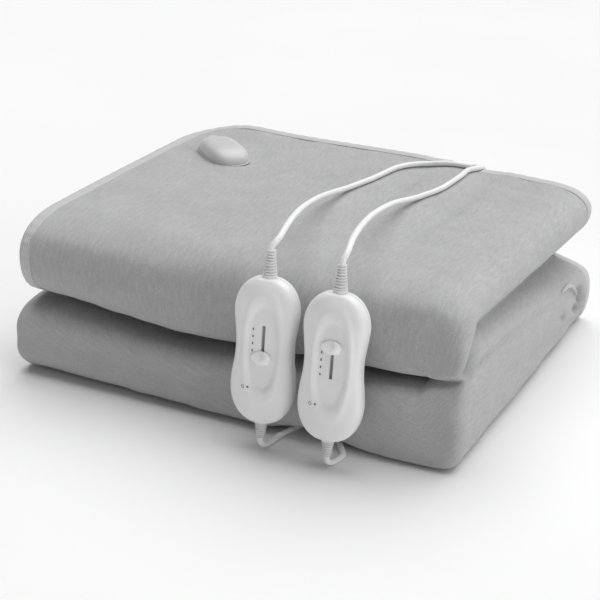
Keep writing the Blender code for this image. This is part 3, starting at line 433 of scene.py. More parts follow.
def sectionPoint(v, c, nose):
    # second and third fold: depth y and height w in the half stack's section, four runs
    # joined by a front nose (half superellipse), a back loop (half circle) and an inner nose
    above, below, power, innerY, tip = nose
    runs, pitch, back = cloth["section"], cloth["pitch"], cloth["backEdge"]
    starts = np.cumsum((0.0,) + runs)
    t = [np.clip((v - starts[i]) / runs[i], None if i == 0 else 0, None if i == 6 else 1)
         for i in range(7)]
    outer, inner, loop = 3 * pitch + c, pitch - c, pitch + c
    outAngle = math.pi * (0.5 - t[1])
    outCos, outSin = superEllipse(outAngle, power)
    inCos, inSin = superEllipse(math.pi * (t[5] - 0.5), power)
    loopAngle = math.pi * (t[3] - 0.5)
    reach = below + (above - below) * (1 + np.sin(outAngle)) / 2
    topY, underY = tip + above * outermost, tip + below * outermost
    ys = [back + (topY - back) * t[0], tip + reach * (outermost - outer * outCos),
          underY + (loopY - underY) * t[2], loopY + loop * np.cos(loopAngle),
          loopY + (innerY - loopY) * t[4], innerY - cloth["innerReach"] * inner * inCos,
          innerY + (back - innerY) * t[6]]
    ws = [outer, outer * outSin, -outer, -2 * pitch + loop * np.sin(loopAngle), -inner,
          inner * inSin, inner]
    which = np.clip(np.searchsorted(starts, v, side="right") - 1, 0, 6)
    return (np.choose(which, np.broadcast_arrays(*ys)),
            np.choose(which, np.broadcast_arrays(*ws)))


def turnCurve(share, outward=1.0):
    # the last fold's outline over its radius: half a superellipse, squarer below and for
    # the layers further out
    soft, square = cloth["turnPowers"]
    power = soft + (square - soft) * smoothStep(share) * outward ** 1.5
    return superEllipse(math.pi * (0.5 - share), power)


def turnTable():
    # shares of the turn's angle, top to bottom, and the shares of its run that they reach
    share = np.linspace(0, 1, 4001)
    cosine, sine = turnCurve(share)
    run = np.cumsum(np.hypot(np.diff(cloth["turnReach"] * cosine), np.diff(sine)))
    return share, np.concatenate([[0], run / run[-1]])


turnShares, turnRuns = turnTable()


def lastFold(a, w):
    # fourth fold: straight to the right, down round half a superellipse that is squarer
    # below, and back left
    centreX = cloth["rightTip"] - cloth["turnReach"] * stackHeight / 2
    radius = turnRadius + w
    run = np.clip((a - cloth["upperLength"]) / cloth["turnLength"], 0, 1)
    outward = np.clip(radius / (turnRadius + outermost), 0, 1)
    cosine, sine = turnCurve(np.interp(run, turnRuns, turnShares), outward)
    back = (a - cloth["upperLength"] - cloth["turnLength"]) / cloth["lowerLength"]
    x = np.where(a < cloth["upperLength"],
                 cloth["upperLeft"] + (centreX - cloth["upperLeft"]) * a / cloth["upperLength"],
                 centreX + cloth["turnReach"] * radius * cosine)
    x = np.where(back > 0, centreX + (cloth["lowerLeft"] - centreX) * back, x)
    return x, stackHeight / 2 + radius * sine


def bell(value, middle, reach):
    # a Gaussian bell, 1 at its middle and a third at its reach
    return np.exp(-((value - middle) / reach) ** 2)


def notchAt(y):
    # the notch's height, depth and reach up and down, at a distance from the front
    notch = settling["notch"]
    along = np.clip((y - notch["from"]) / (notch["to"] - notch["from"]), 0, 1)
    height, depth, up, down = [front + (back - front) * along
                               for front, back in zip(notch["front"], notch["back"])]
    hook = 1 - smoothStep((y - notch["starts"]) / (notch["hookEnds"] - notch["starts"]))
    return (height - notch["hook"] * hook,
            depth * smoothStep((y - notch["starts"]) / notch["eases"]), up, down)


def settle(x, y, z):
    # creases, hollows and swells that each slide points one way, so that no two layers
    # cross; a swell fades with the square of the height, so the base stays flat
    ends = smoothStep((x - settling["endFrom"]) / settling["endOver"])
    height, depth, up, down = notchAt(y)
    away = z - height
    upPower, downPower = settling["notch"]["powers"]
    shift = depth * np.where(away > 0, np.exp(-(np.abs(away) / up) ** upPower),
                             np.exp(-(np.abs(away) / down) ** downPower))
    fadeFrom, fadeOver, lost = settling["linesFade"]
    fading = 1 - lost * smoothStep((y - fadeFrom) / fadeOver)
    for front, back, deep, width in settling["lines"]:
        shift = shift + fading * deep * bell(z, front + (back - front) * y / cloth["backEdge"],
                                             width)
    for atY, atZ, deep, reachY, reachZ in settling["gaps"]:
        middle = atZ + settling["gapSlope"] * (y - atY)
        shift = shift + deep * bell(y, atY, reachY) * bell(z, middle, reachZ)
    nearFront = 1 - smoothStep(y / settling["frontReach"])
    mouth = settling["mouth"]
    setsIn = nearFront * smoothStep((x - mouth["from"]) / (mouth["end"] - mouth["from"]))
    fades = np.clip((mouth["to"] - x) / (mouth["to"] - mouth["end"]), 0, 1)
    drawn = mouth["drawn"] * np.minimum(setsIn, nearFront * fades) \
        * bell(z, mouth["height"], mouth["reach"])
    pinched = mouth["pinch"] * setsIn * (z - mouth["height"]) \
        * bell(z, mouth["height"], mouth["pinchReach"])
    crease = settling["crease"]
    share = np.clip((x - crease["from"]) / (crease["to"] - crease["from"]), 0, 1)
    low, high = crease["heights"]
    push = crease["depth"] * smoothStep(2 * share) * bell(z, low + (high - low) * share,
                                                          crease["width"])
    for atX, atZ, deep, reachX, reachZ in settling["hollows"]:
        push = push + deep * bell(x, atX, reachX) * bell(z, atZ, reachZ)
    droopX, droopZ, droop, reachX, reachZ = settling["droop"]
    sag = droop * nearFront * bell(x, droopX, reachX) * bell(z, droopZ, reachZ)
    lift = np.zeros_like(z)
    for atX, atY, rise, reachX, reachY in settling["swells"]:
        lift = lift + rise * bell(x, atX, reachX) * bell(y, atY, reachY)
    passage = settling["passage"]
    across = np.clip((x - passage["x"]) / passage["halfWidth"], -1, 1)
    fade = np.clip(1 - z / passage["fadesAt"], 0, 1) ** 2
    arch = passage["lift"] * np.cos(across * math.pi / 2) ** 2 * fade
    return (x - shift * ends + drawn, y + push * nearFront,
            z + sag - pinched + lift * (z / stackHeight) ** 2 + arch)


def clothPoint(u, v, face):
    # a flat place and a height off the cloth's middle, through all four folds and settled
    a, c = halveAlong(u, face)
    y, w = sectionPoint(v, c, noseAt(a))
    x, z = lastFold(a, w)
    return np.stack(settle(x, y, z), axis=-1)


fineCloth = {
    "cornerRows": 10, "upperRows": 60, "turnRows": (34, 36), "lowerRows": 56, "foldRows": 5,
    "columns": (50, 46, 10, 8, 10, 12, 14),
    # rows crowd towards the notch by a power; the nose is this many times as deep as high;
    # columns are drawn in over a distance from the corners
    "crowding": 1.3, "noseReach": 1.4, "drawnIn": 0.17,
    # ripples: height, how many waves, shortest and longest, the random seed
    "ripple": 0.00030, "waves": 14, "waveLengths": (0.025, 0.060), "seed": 4,
    "lowest": 0.0002,
}


def noseShares(power, wide, high, steps):
    # shares of a half superellipse's angle, top to bottom, that give even steps along it
    share = np.linspace(0, 1, 2001)
    cosine, sine = superEllipse(math.pi * (0.5 - share), power)
    run = np.concatenate([[0], np.cumsum(np.hypot(np.diff(wide * cosine), np.diff(high * sine)))])
    return np.interp(np.linspace(0, run[-1], steps + 1), run, share)


def clothGrid():
    # flat places of the fine grid. Rows run across the sheet, in the turn slanted along the
    # notch and closest there; columns run along it, drawn in round the rounded corners
    n, corner, radius = fineCloth, cloth["corner"], cloth["corner"] - edge
    up, turn = cloth["upperLength"], cloth["turnLength"]
    round90 = np.linspace(0, math.pi / 2, n["cornerRows"] + 1)
    above, below = n["turnRows"]
    level = np.concatenate([-np.linspace(1, 0, above + 1)[1:] ** n["crowding"],
                            np.linspace(0, 1, below + 1)[1:] ** n["crowding"]])
    outer = np.concatenate([corner - radius * np.cos(round90),
                            np.linspace(corner, up, n["upperRows"] + 1)[1:], up + 0 * level,
                            np.linspace(up + turn, halfLength, n["lowerRows"] + 1)[1:]])
    levels = np.full(len(outer), np.nan)
    first = n["cornerRows"] + 1 + n["upperRows"]
    levels[first:first + len(level)] = level
    pick = np.concatenate([np.arange(0, first - 1, 2), np.arange(first - 1, len(outer), 2)])
    fold = np.linspace(halfLength, halfLength + halfFold, n["foldRows"] + 1)[1:-1]
    rows = np.concatenate([outer, fold, sheetLength - outer[pick][::-1]])
    levels = np.concatenate([levels, fold * np.nan, levels[pick][::-1]])

    nose = noseShares(cloth["noses"][1][3], n["noseReach"] * outermost, outermost,
                      n["columns"][1])
    starts = np.cumsum((0.0,) + cloth["section"])
    columns = [np.array([edge])]
    for i, steps in enumerate(n["columns"]):
        low = max(starts[i], edge)
        high = starts[i + 1] - (edge if i == 6 else 0.0)
        columns.append(starts[1] + cloth["section"][1] * nose[1:] if i == 1
                       else np.linspace(low, high, steps + 1)[1:])
    columns = np.concatenate(columns)

    depth, _ = sectionPoint(columns, 0.0, noseAt(up + turn / 2))
    share = (notchAt(depth)[0] - stackHeight / 2) / (turnRadius + outermost)
    apex = np.interp(share, turnCurve(turnShares)[1][::-1], turnRuns[::-1])[None, :]
    level = levels[:, None]
    slanted = up + turn * np.where(level < 0, apex * (1 + level), apex + (1 - apex) * level)
    second = (np.arange(len(rows)) >= len(outer))[:, None]
    slanted = np.where(second, sheetLength - slanted, slanted)
    flatU = np.where(np.isnan(level), rows[:, None], slanted)

    inset = np.minimum(rows, sheetLength - rows) - edge
    drop = radius - np.sqrt(np.maximum(radius ** 2 - np.maximum(radius - inset, 0) ** 2, 0))
    near = np.clip(1 - (columns - edge) / n["drawnIn"], 0, 1)
    far = np.clip(1 - (sheetWidth - edge - columns) / n["drawnIn"], 0, 1)
    return flatU, columns[None, :] + drop[:, None] * (near - far)[None, :]


def ripples(u, v):
    # a sum of slow waves over the flat sheet, in seeded directions, 25 to 60 mm long
    rng = np.random.default_rng(fineCloth["seed"])
    total = np.zeros_like(u)
    for _ in range(fineCloth["waves"]):
        direction, phase = rng.uniform(0, math.pi), rng.uniform(0, 2 * math.pi)
        wave = 2 * math.pi / rng.uniform(*fineCloth["waveLengths"])
        total += np.sin(wave * (u * math.cos(direction) + v * math.sin(direction)) + phase)
    return total / math.sqrt(fineCloth["waves"] / 2)


def makeCloth():
    # the sheet's two faces through the folds, joined round the rim
    u, v = clothGrid()
    half = cloth["thickness"] / 2
    proud = fineCloth["ripple"] * ripples(u, v)
    top, under = clothPoint(u, v, half + proud), clothPoint(u, v, -half + proud)
    for face in (top, under):
        face[..., 2] = np.maximum(face[..., 2], fineCloth["lowest"])
    # the UV map is the cloth's own run in metres, along each row and each column
    alongU = np.linalg.norm(np.diff(top, axis=0, prepend=top[:1]), axis=2).cumsum(axis=0)
    alongV = np.linalg.norm(np.diff(top, axis=1, prepend=top[:, :1]), axis=2).cumsum(axis=1)
    uv = np.stack([alongU, alongV], axis=-1)
    points, faces = closedSheet(top, under)
    piece = addPiece("foldedFleece", points, faces, "stack", "fleece",
                     uv=np.concatenate([uv.reshape(-1, 2), uv.reshape(-1, 2)]))
    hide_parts("blanket")
    return piece, points, faces


def outlineOfSheet(reach, count):
    # even steps round the rounded rectangle that lies reach outside the cloth's edge, with
    # the outward direction at each, as one array of u, v, outU, outV
    radius = cloth["corner"] - edge + reach
    wide, high = sheetLength - 2 * cloth["corner"], sheetWidth - 2 * cloth["corner"]
    base = cloth["corner"] - edge
    arc = math.pi / 2 * base
    lengths = np.array([high, arc, wide, arc, high, arc, wide, arc])
    ends = np.cumsum(lengths)
    s = np.linspace(0, ends[-1], count, endpoint=False)
    leg = np.searchsorted(ends, s, side="right")
    t = (s - (ends - lengths)[leg]) / lengths[leg]
    side = leg // 2
    onArc = leg % 2 == 1
    turnOut = math.pi - side * math.pi / 2 - np.where(onArc, t, 0) * math.pi / 2
    outU, outV = np.cos(turnOut), np.sin(turnOut)
    c = cloth["corner"]
    cornerU = np.array([c, c, sheetLength - c, sheetLength - c])
    cornerV = np.array([c, sheetWidth - c, sheetWidth - c, c])
    fromU, fromV = cornerU[side], cornerV[side]
    toU, toV = cornerU[(side + 1) % 4], cornerV[(side + 1) % 4]
    midU = np.where(onArc, toU, fromU + (toU - fromU) * t)
    midV = np.where(onArc, toV, fromV + (toV - fromV) * t)
    return midU + radius * outU, midV + radius * outV, s


tape = {
    "steps": 3200, "overlap": 0.0012, "proud": 0.0007, "lowest": 0.00005,
    # puckers between the stitches: height, spacing, out to this share of the tape's width
    "pucker": 0.00018, "stitch": 0.0125, "puckerTo": 0.9,
    # half the section: place out over the edge's width, proud share, share of half thickness
    "section": [(-1.0, -0.35, 0.00), (-1.0, 0.55, 0.45), (-0.55, 0.95, 1.0), (0.10, 0.55, 1.0),
                (0.30, 1.00, 1.0), (0.62, 1.05, 1.0), (0.86, 0.80, 0.93), (0.97, 0.45, 0.72),
                (1.0, 0.1, 0.35)],
}


def makeTape():
    # the tape's section, a flat loop round the cloth's edge, carried along the sheet's
    # outline; it puckers a little between its stitches
    half = cloth["thickness"] / 2
    reachShare, proudShare, halfShare = np.array(tape["section"]).T
    reach = np.where(reachShare < 0, reachShare * tape["overlap"], reachShare * edge)
    height = half * halfShare + tape["proud"] * proudShare
    reach = np.concatenate([reach, reach[::-1]])
    height = np.concatenate([height, -height[::-1]])
    loops = []
    for out, lift in zip(reach, height):
        u, v, s = outlineOfSheet(out, tape["steps"])
        wave = tape["pucker"] * np.sin(2 * math.pi * s / tape["stitch"]) * np.sign(lift)
        loops.append(clothPoint(u, v, lift + wave * (0 < out < edge * tape["puckerTo"])))
    points = np.stack(loops, axis=1)
    points[..., 2] = np.maximum(points[..., 2], tape["lowest"])
    run = np.concatenate([[0], np.cumsum(np.abs(np.diff(reach)) + np.abs(np.diff(height)))])
    uv = np.stack(np.broadcast_arrays(s[:, None], run[None, :]), axis=-1)
    faces = gridQuads(len(points), len(reach), loopRows=True, loopColumns=True)
    piece = addPiece("edgeTape", points, faces, "stack", "tape", uv=uv)
    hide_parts("binding")
    return points.reshape(-1, 3), faces


clothPiece, clothPoints, clothFaces = makeCloth()
tapePoints, tapeFaces = makeTape()
print("cloth and tape made:", len(clothFaces), "and", len(tapeFaces), "quads")


# what rests on the cloth
carriers = [BVHTree.FromPolygons(clothPoints.tolist(), clothFaces.tolist()),
            BVHTree.FromPolygons(tapePoints.tolist(), tapeFaces.tolist())]
lead = {"diameter": 0.0050, "clear": 0.0004, "spacing": 0.0040, "mainsLength": 1.80,
        # where a resting lead is probed: rings as shares of its radius, places round a ring
        "rings": (0, 0.35, 0.7, 0.95), "around": 8,
        # how far its line goes into a boot, and how far each mains lead runs from the
        # passage's middle
        "inBoot": 0.004, "apart": 0.0115}


def topHeight(x, y):
    # height of what lies on top there: a ray straight down on the cloth and the tape
    hits = [tree.ray_cast(Vector((x, y, 1)), Vector((0, 0, -1)))[0] for tree in carriers]
    found = [hit.z for hit in hits if hit is not None]
    return max(found) if found else None


def underLead(x, y):
    # height of a resting lead's middle, as a ball that rolls on the cloth
    ball = lead["diameter"] / 2 + lead["clear"]
    found = []
    for share in lead["rings"]:
        for turn in range(lead["around"] if share else 1):
            angle = 2 * math.pi / lead["around"] * turn
            height = topHeight(x + share * ball * math.cos(angle),
                               y + share * ball * math.sin(angle))
            if height is not None:
                found.append(height + ball * math.sqrt(1 - share ** 2))
    return max(found) if found else None


# an inner layer's bound edge that shows as a hooked welt at the back of the right-hand end:
# its places as y and z, its half width, how far its middle stands out of the cloth
welt = {"route": [(0.2549, 0.0607), (0.2637, 0.0604), (0.2743, 0.0593), (0.2812, 0.0574),
                  (0.2876, 0.0531), (0.2917, 0.0478), (0.2922, 0.0431)],
        "radius": 0.0019, "out": 0.0011, "spacing": 0.0008, "around": 20,
        # it thickens over the first part of its run and ends bluntly over the last
        "thickens": 0.3846, "blunt": 0.12, "thinnest": 0.02}


def makeWelt():
    # a round section carried along the route on the cloth; it thickens as the square root
    # of a sine and ends as a square root
    route = evenlyAlong(throughPoints([(0.0, y, z) for y, z in welt["route"]], 200),
                        welt["spacing"])
    for point in route:
        hits = [tree.ray_cast(Vector((1, point[1], point[2])), Vector((-1, 0, 0)))[0]
                for tree in carriers]
        point[0] = max(hit.x for hit in hits if hit is not None) + welt["out"]
    heading = np.gradient(route, axis=0)
    heading /= np.linalg.norm(heading, axis=1)[:, None]
    side = np.cross(heading, (1.0, 0, 0))
    side /= np.linalg.norm(side, axis=1)[:, None]
    angle = np.linspace(0, 2 * math.pi, welt["around"], endpoint=False)
    share = np.linspace(0, 1, len(route))
    swell = np.sqrt(np.sin(math.pi / 2 * np.clip(share / welt["thickens"], 0, 1)))
    swell *= np.sqrt(np.clip((1 - share) / welt["blunt"], 0, 1))
    reach = welt["radius"] * np.maximum(swell, welt["thinnest"])[:, None, None]
    outward = np.cross(side, heading)
    outward *= np.sign(outward[:, :1])
    points = route[:, None, :] + reach * (np.cos(angle)[None, :, None] * side[:, None, :]
                                          + np.sin(angle)[None, :, None] * outward[:, None, :])
    points = np.concatenate([0 * points[:1] + route[0], points, 0 * points[:1] + route[-1]])
    run = np.stack(np.broadcast_arrays(np.arange(len(points))[:, None] * welt["spacing"],
                                       angle[None, :] * welt["radius"]), axis=-1)
    addPiece("innerEdge", points, gridQuads(len(points), welt["around"], loopColumns=True),
             "stack", "tape", uv=run, merge=weld / 2)


makeWelt()
print("inner edge made")


# controllers
controllers = {
    "left": {"middle": (0.2656, -0.0235, 0.0880), "lean": 6.5, "tilt": 1.5, "yaw": 6.0,
             "knob": -0.0032},
    "right": {"middle": (0.3270, -0.0250, 0.0875), "lean": 7.0, "tilt": 1.5, "yaw": 4.0,
              "knob": 0.0195},
}
shell = {
    # place along the body, half width, front depth, back depth
    "outline": [(-0.0610, 0.0070, 0.0058, 0.0050), (-0.0590, 0.0125, 0.0082, 0.0072),
                (-0.0540, 0.0190, 0.0106, 0.0092), (-0.0450, 0.0243, 0.0125, 0.0106),
                (-0.0330, 0.0268, 0.0134, 0.0114), (-0.0200, 0.0262, 0.0137, 0.0116),
                (-0.0060, 0.0243, 0.0137, 0.0116), (0.0080, 0.0238, 0.0137, 0.0116),
                (0.0220, 0.0254, 0.0137, 0.0116), (0.0350, 0.0266, 0.0134, 0.0114),
                (0.0460, 0.0243, 0.0125, 0.0106), (0.0545, 0.0190, 0.0106, 0.0092),
                (0.0592, 0.0125, 0.0082, 0.0072), (0.0610, 0.0070, 0.0058, 0.0050)],
    "half": 0.0610, "seam": 0.00025, "power": 3.0, "join": 0.0003,
    # the pan's wall and its lip stand at shares of the oval's reach: where, over how much
    "pan": {"x": 0.0018, "z": 0.0050, "halfWidth": 0.0135, "halfLength": 0.0380, "depth": 0.0026,
            "power": 2.4, "wall": (0.86, 0.16), "lip": 0.0013, "lipAt": (1.17, 0.13)},
    "slot": {"x": 0.0018, "low": -0.0066, "high": 0.0238, "halfWidth": 0.0015, "depth": 0.0045},
    # the grid: rows, columns of each half, half the slot walls' step, the flat beside the
    # slot, how the columns crowd at the seam
    "rows": 150, "coverColumns": 44, "backColumns": 30, "step": 0.00005, "beside": 0.0006,
    "crowding": 1.5,
}
boots = {"top": {"base": 0.0060, "tip": 0.0036, "length": 0.0225, "ribs": 8},
         "bottom": {"base": 0.0055, "tip": 0.0036, "length": 0.0145, "ribs": 6}}
# the boots' grooves: where they start and how far they run, as shares of the length, how
# soon they are full, their depth as a share of the radius, where on the wave a groove sets in
# and over how much; then the cone's taper as a power and the rounded rim of the tip
ribbing = {"from": 0.10, "run": 0.83, "ease": 0.03, "depth": 0.34, "groove": (-0.10, 0.60),
           "taper": 0.85, "rim": (0.995, 0.98, 0.95, 0.90, 0.82)}
outlineFine = throughPoints(shell["outline"], 900)


def turnOf(side):
    # lean back, tilt and yaw as Euler angles
    place = controllers[side]
    return (-math.radians(place["lean"]), math.radians(place["tilt"]),
            math.radians(place["yaw"]))


def onController(side, points):
    return placed(points, controllers[side]["middle"], turnOf(side))


def bodyAt(z):
    # half width, front depth and back depth at a place along the body
    return [np.interp(z, outlineFine[:, 0], outlineFine[:, k]) for k in (1, 2, 3)]


def panFloor():
    # distance of the pan's flat floor in front of the seam plane
    table = np.array(shell["outline"])
    deep = np.interp(shell["pan"]["z"], table[:, 0], table[:, 2])
    return shell["seam"] + deep - shell["pan"]["depth"]


def coverFace(x, z):
    # distance of the cover's face in front of the seam plane: a superellipse across the
    # body, with a raised lip round a flat-floored oval pan
    width, front, _ = bodyAt(z)
    share = np.clip(np.abs(x) / width, 0, 1)
    face = shell["seam"] + front * (1 - share ** shell["power"]) ** (1 / shell["power"])
    pan = shell["pan"]
    ring = (np.abs((x - pan["x"]) / pan["halfWidth"]) ** pan["power"]
            + np.abs((z - pan["z"]) / pan["halfLength"]) ** pan["power"]) ** (1 / pan["power"])
    wallAt, wallOver = pan["wall"]
    inside = 1 - smoothStep((ring - wallAt) / wallOver)
    lip = pan["lip"] * bell(ring, *pan["lipAt"]) * (1 - share ** 6)
    return face * (1 - inside) + panFloor() * inside + lip


def shellColumns(z, count):
    # x of each column at each z: fixed lines at the slot, then out to the body's edge in
    # steps that shrink towards the seam; the slot's shift fades over the outer half
    width = bodyAt(z)[0][:, None]
    slot, step = shell["slot"]["halfWidth"], shell["step"]
    inner = np.array([0.0, slot - step, slot + step, slot + shell["beside"]])
    start = np.arccos(np.clip(inner[-1] / width, 0, 1) ** (shell["power"] / 2))
    t = np.linspace(0, 1, count + 1)[1:]
    outer = width * np.abs(np.cos(start * (1 - t) ** shell["crowding"])) ** (2 / shell["power"])
    right = np.concatenate([np.broadcast_to(inner, (len(z), 4)), outer], axis=1)
    x = np.concatenate([-right[:, :0:-1], right], axis=1)
    return x + shell["slot"]["x"] * np.clip((1 - np.abs(x) / width) / 0.5, 0, 1)


def shellGrid(columns, extra=()):
    # x and z over a shell: rows spaced by a sine so that they crowd at both ends, with the
    # extra ones put in
    even = shell["half"] * np.sin(np.linspace(-math.pi / 2, math.pi / 2, shell["rows"]))
    z = np.sort(np.concatenate([even, extra]))
    x = shellColumns(z, columns)
    return x, np.broadcast_to(z[:, None], x.shape)


def addShell(side, name, node, x, z, face, sign):
    # a face in front of (-1) or behind (1) the seam plane, closed by the flat seam
    points, faces = closedSheet(np.stack([x, sign * face, z], axis=-1),
                                np.stack([x, 0 * x + sign * shell["seam"], z], axis=-1))
    piece = addPiece(f"{name}-{side}", onController(side, points), faces, "stack", "casing",
                     sharp=40, merge=weld)
    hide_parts(f"controller_{side}_{node}")


def makeShells(side):
    # the cover's face drops straight to the slot's floor inside the slot
    slot, step = shell["slot"], shell["step"]
    x, z = shellGrid(shell["coverColumns"], [slot["low"] - step, slot["low"] + step,
                                             slot["high"] - step, slot["high"] + step])
    inSlot = np.abs(x - slot["x"]) < slot["halfWidth"]
    inSlot &= (z > slot["low"]) & (z < slot["high"])
    face = np.where(inSlot, panFloor() - slot["depth"], coverFace(x, z))
    addShell(side, "cover", "cover", x, z, face, -1)
    # the back is a plain superellipse across the body
    x, z = shellGrid(shell["backColumns"])
    width, _, back = bodyAt(z)
    share = np.clip(np.abs(x) / width, 0, 1)
    face = shell["seam"] + back * (1 - share ** shell["power"]) ** (1 / shell["power"])
    addShell(side, "backShell", "back", x, z, face, 1)


# the slot's guard: its wall, the gap round it, how far it is set in from the pan's floor
guard = {"wall": 0.00025, "gap": 0.00010, "set": 0.0006}


def makeGuard(side):
    # a U-shaped channel that lines the slot's sides and floor, carried along the slot
    slot = shell["slot"]
    wide, wall = slot["halfWidth"] - guard["gap"], guard["wall"]
    low, deep = guard["set"], slot["depth"] - guard["gap"]
    section = [(-wide, low), (-wide, deep), (wide, deep), (wide, low), (wide - wall, low),
               (wide - wall, deep - wall), (wall - wide, deep - wall), (wall - wide, low)]
    rows = [[(slot["x"] + x, depth - panFloor(), z) for x, depth in section]
            for z in (slot["low"] + guard["gap"], slot["high"] - guard["gap"])]
    faces = gridQuads(2, 8, loopColumns=True).tolist() + [list(range(8)), list(range(8, 16))]
    addPiece(f"slotGuard-{side}", onController(side, np.array(rows)).reshape(-1, 3), faces,
             "stack", "guard", sharp=40)


knob = {"halfWidth": 0.0088, "halfLength": 0.0060, "height": 0.0017, "dome": 0.0031,
        "domeX": 0.0034, "domeReach": 0.0042, "offset": -0.0012, "clear": 0.0004,
        "narrows": 0.24, "stemHalfWidth": 0.0009, "stemHalfLength": 0.0030, "stemDepth": 0.0034,
        "rings": 24, "around": 56, "crowding": 0.6}


def makeKnob(side):
    # an oval cap, narrower towards its pointer on the left; its height falls to the rim as
    # a superellipse and has a round dome on its right; a flat stem goes into the slot
    share = np.concatenate([[0], np.linspace(0, 1, knob["rings"])[1:] ** knob["crowding"]])
    share = share[:, None]
    angle = np.linspace(0, 2 * math.pi, knob["around"], endpoint=False)[None, :]
    across = np.cos(angle)
    narrow = 1 - knob["narrows"] * np.clip(-across, 0, 1) ** 1.5
    x = knob["offset"] + knob["halfWidth"] * share * across
    z = knob["halfLength"] * share * np.sin(angle) * narrow
    dome = knob["dome"] * np.exp(-((x - knob["domeX"]) ** 2 + z ** 2) / knob["domeReach"] ** 2)
    rise = np.maximum(1 - share ** 3, 0) ** (1 / 3) * (knob["height"] + dome)
    cap = np.stack([x, -rise + 0 * x, z], axis=-1)
    cosine, sine = superEllipse(angle[0], 4)
    stem = [np.stack([knob["stemHalfWidth"] * cosine, depth + 0 * cosine,
                      knob["stemHalfLength"] * sine], axis=-1)
            for depth in (0.0, knob["stemDepth"])]
    foot = 0 * cap[-1:] + np.array([0, knob["stemDepth"], 0])
    points = np.concatenate([cap, np.array(stem), foot])
    floor = -(panFloor() + knob["clear"])
    points = points + np.array([shell["slot"]["x"], floor, controllers[side]["knob"]])
    faces = gridQuads(len(points), points.shape[1], loopColumns=True)
    piece = addPiece(f"sliderCap-{side}", onController(side, points), faces, f"knob_{side}",
                     "knob", sharp=50, merge=weld)
    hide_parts(f"controller_{side}_knob")


def makeBoot(side, end):
    # a cone with ring grooves: the radius tapers, and each groove is a soft square notch
    form = boots[end]
    along = np.linspace(0, 1, 150)
    taper = form["base"] + (form["tip"] - form["base"]) * along ** ribbing["taper"]
    start, run, ease = ribbing["from"], ribbing["run"], ribbing["ease"]
    zone = smoothStep((along - start) / ease) * (1 - smoothStep((along - start - run) / ease))
    wave = np.cos(2 * math.pi * form["ribs"] * (along - start) / run)
    setsIn, over = ribbing["groove"]
    groove = smoothStep((wave - setsIn) / over)
    radius = taper * (1 - ribbing["depth"] * groove * zone)
    radius[-len(ribbing["rim"]):] *= np.array(ribbing["rim"])
    profile = np.stack([np.concatenate([[0], radius, [0]]),
                        form["length"] * np.concatenate([[0], along, [1]])], axis=1)
    points, faces = turnedSurface(profile, 40)
    sign = 1 if end == "top" else -1
    points = points * np.array([1, sign, sign])
    points = points + np.array([0, 0, sign * (shell["half"] + shell["join"])])
    piece = addPiece(f"{end}Boot-{side}", onController(side, points), faces, "stack", "boot",
                     merge=weld)
    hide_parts(f"controller_{side}_{end}_boot")


# marks printed on the covers: a column of heat marks beside the slot, then a ring (x, z,
# outer and inner radius) and a spot (x, z, half size) near the lower end
printed = {"x": -0.0070, "places": (0.0200, 0.0140, 0.0080, 0.0020, -0.0040),
           "halfWidth": 0.0006, "halfLength": 0.0010, "proud": 0.00006,
           "ring": (-0.0125, -0.0288, 0.00155, 0.00105), "spot": (-0.0080, -0.0284, 0.0008)}


def inkPatch(x, z):
    # a patch of ink: the same grid of places just above and just under the cover's face
    face = coverFace(x, z)
    top = np.stack([x, -face - printed["proud"], z], axis=-1)
    return closedSheet(top, top + np.array([0, 3 * printed["proud"], 0]))


def makePrint(side):
    # all patches of one cover as one piece, numbered one after another
    radial, angle = np.meshgrid(np.linspace(0, 1, 4), np.linspace(0, 2 * math.pi, 25),
                                indexing="ij")
    square = np.meshgrid(np.linspace(-1, 1, 5), np.linspace(-1, 1, 5), indexing="ij")
    ringX, ringZ, outer, inner = printed["ring"]
    spotX, spotZ, spotR = printed["spot"]
    reach = inner + (outer - inner) * radial
    patches = [inkPatch(printed["x"] + printed["halfWidth"] * square[0],
                        at + printed["halfLength"] * square[1]) for at in printed["places"]]
    patches.append(inkPatch(ringX + reach * np.cos(angle), ringZ + reach * np.sin(angle)))
    patches.append(inkPatch(spotX + spotR * square[0], spotZ + spotR * square[1]))
    points, faces, start = [], [], 0
    for patchPoints, patchFaces in patches:
        points.append(patchPoints)
        faces.append(patchFaces + start)
        start += len(patchPoints)
    addPiece(f"printedMarks-{side}", onController(side, np.concatenate(points)),
             np.concatenate(faces), "stack", "ink", merge=weld / 2)


for side in controllers:
    makeShells(side)
    makeGuard(side)
    makeKnob(side)
    for end in boots:
        makeBoot(side, end)
    makePrint(side)
print("controllers made")


# connector on the cloth
connector = {"x": 0.0727, "y": 0.2500, "turn": -40.5, "halfLength": 0.0360, "halfWidth": 0.0200,
             "height": 0.0118, "flange": 0.0016, "power": 3.0, "nub": 0.0060, "nubReach": 0.25,
             # the flange's overhang and rounding, the cover's squareness, its rows and columns
             "overhang": 1.03, "round": 0.0004, "squareness": 0.55, "rows": 26, "around": 72,
             # how deep it sits in the pile, and the spacing of the places that carry it
             "sunk": 0.0004, "probe": (0.0115, 0.0060)}


def connectorRing(scale, height):
    # a superellipse outline with a small bell-shaped nub at its left end, at one height
    angle = np.linspace(0, 2 * math.pi, connector["around"], endpoint=False)
    cosine, sine = superEllipse(angle, connector["power"])
    nub = np.where(cosine < 0, connector["nub"] * np.exp(-(sine / connector["nubReach"]) ** 2), 0)
    return np.stack([scale * (connector["halfLength"] * cosine - nub),
                     scale * connector["halfWidth"] * sine, height + 0 * angle], axis=-1)


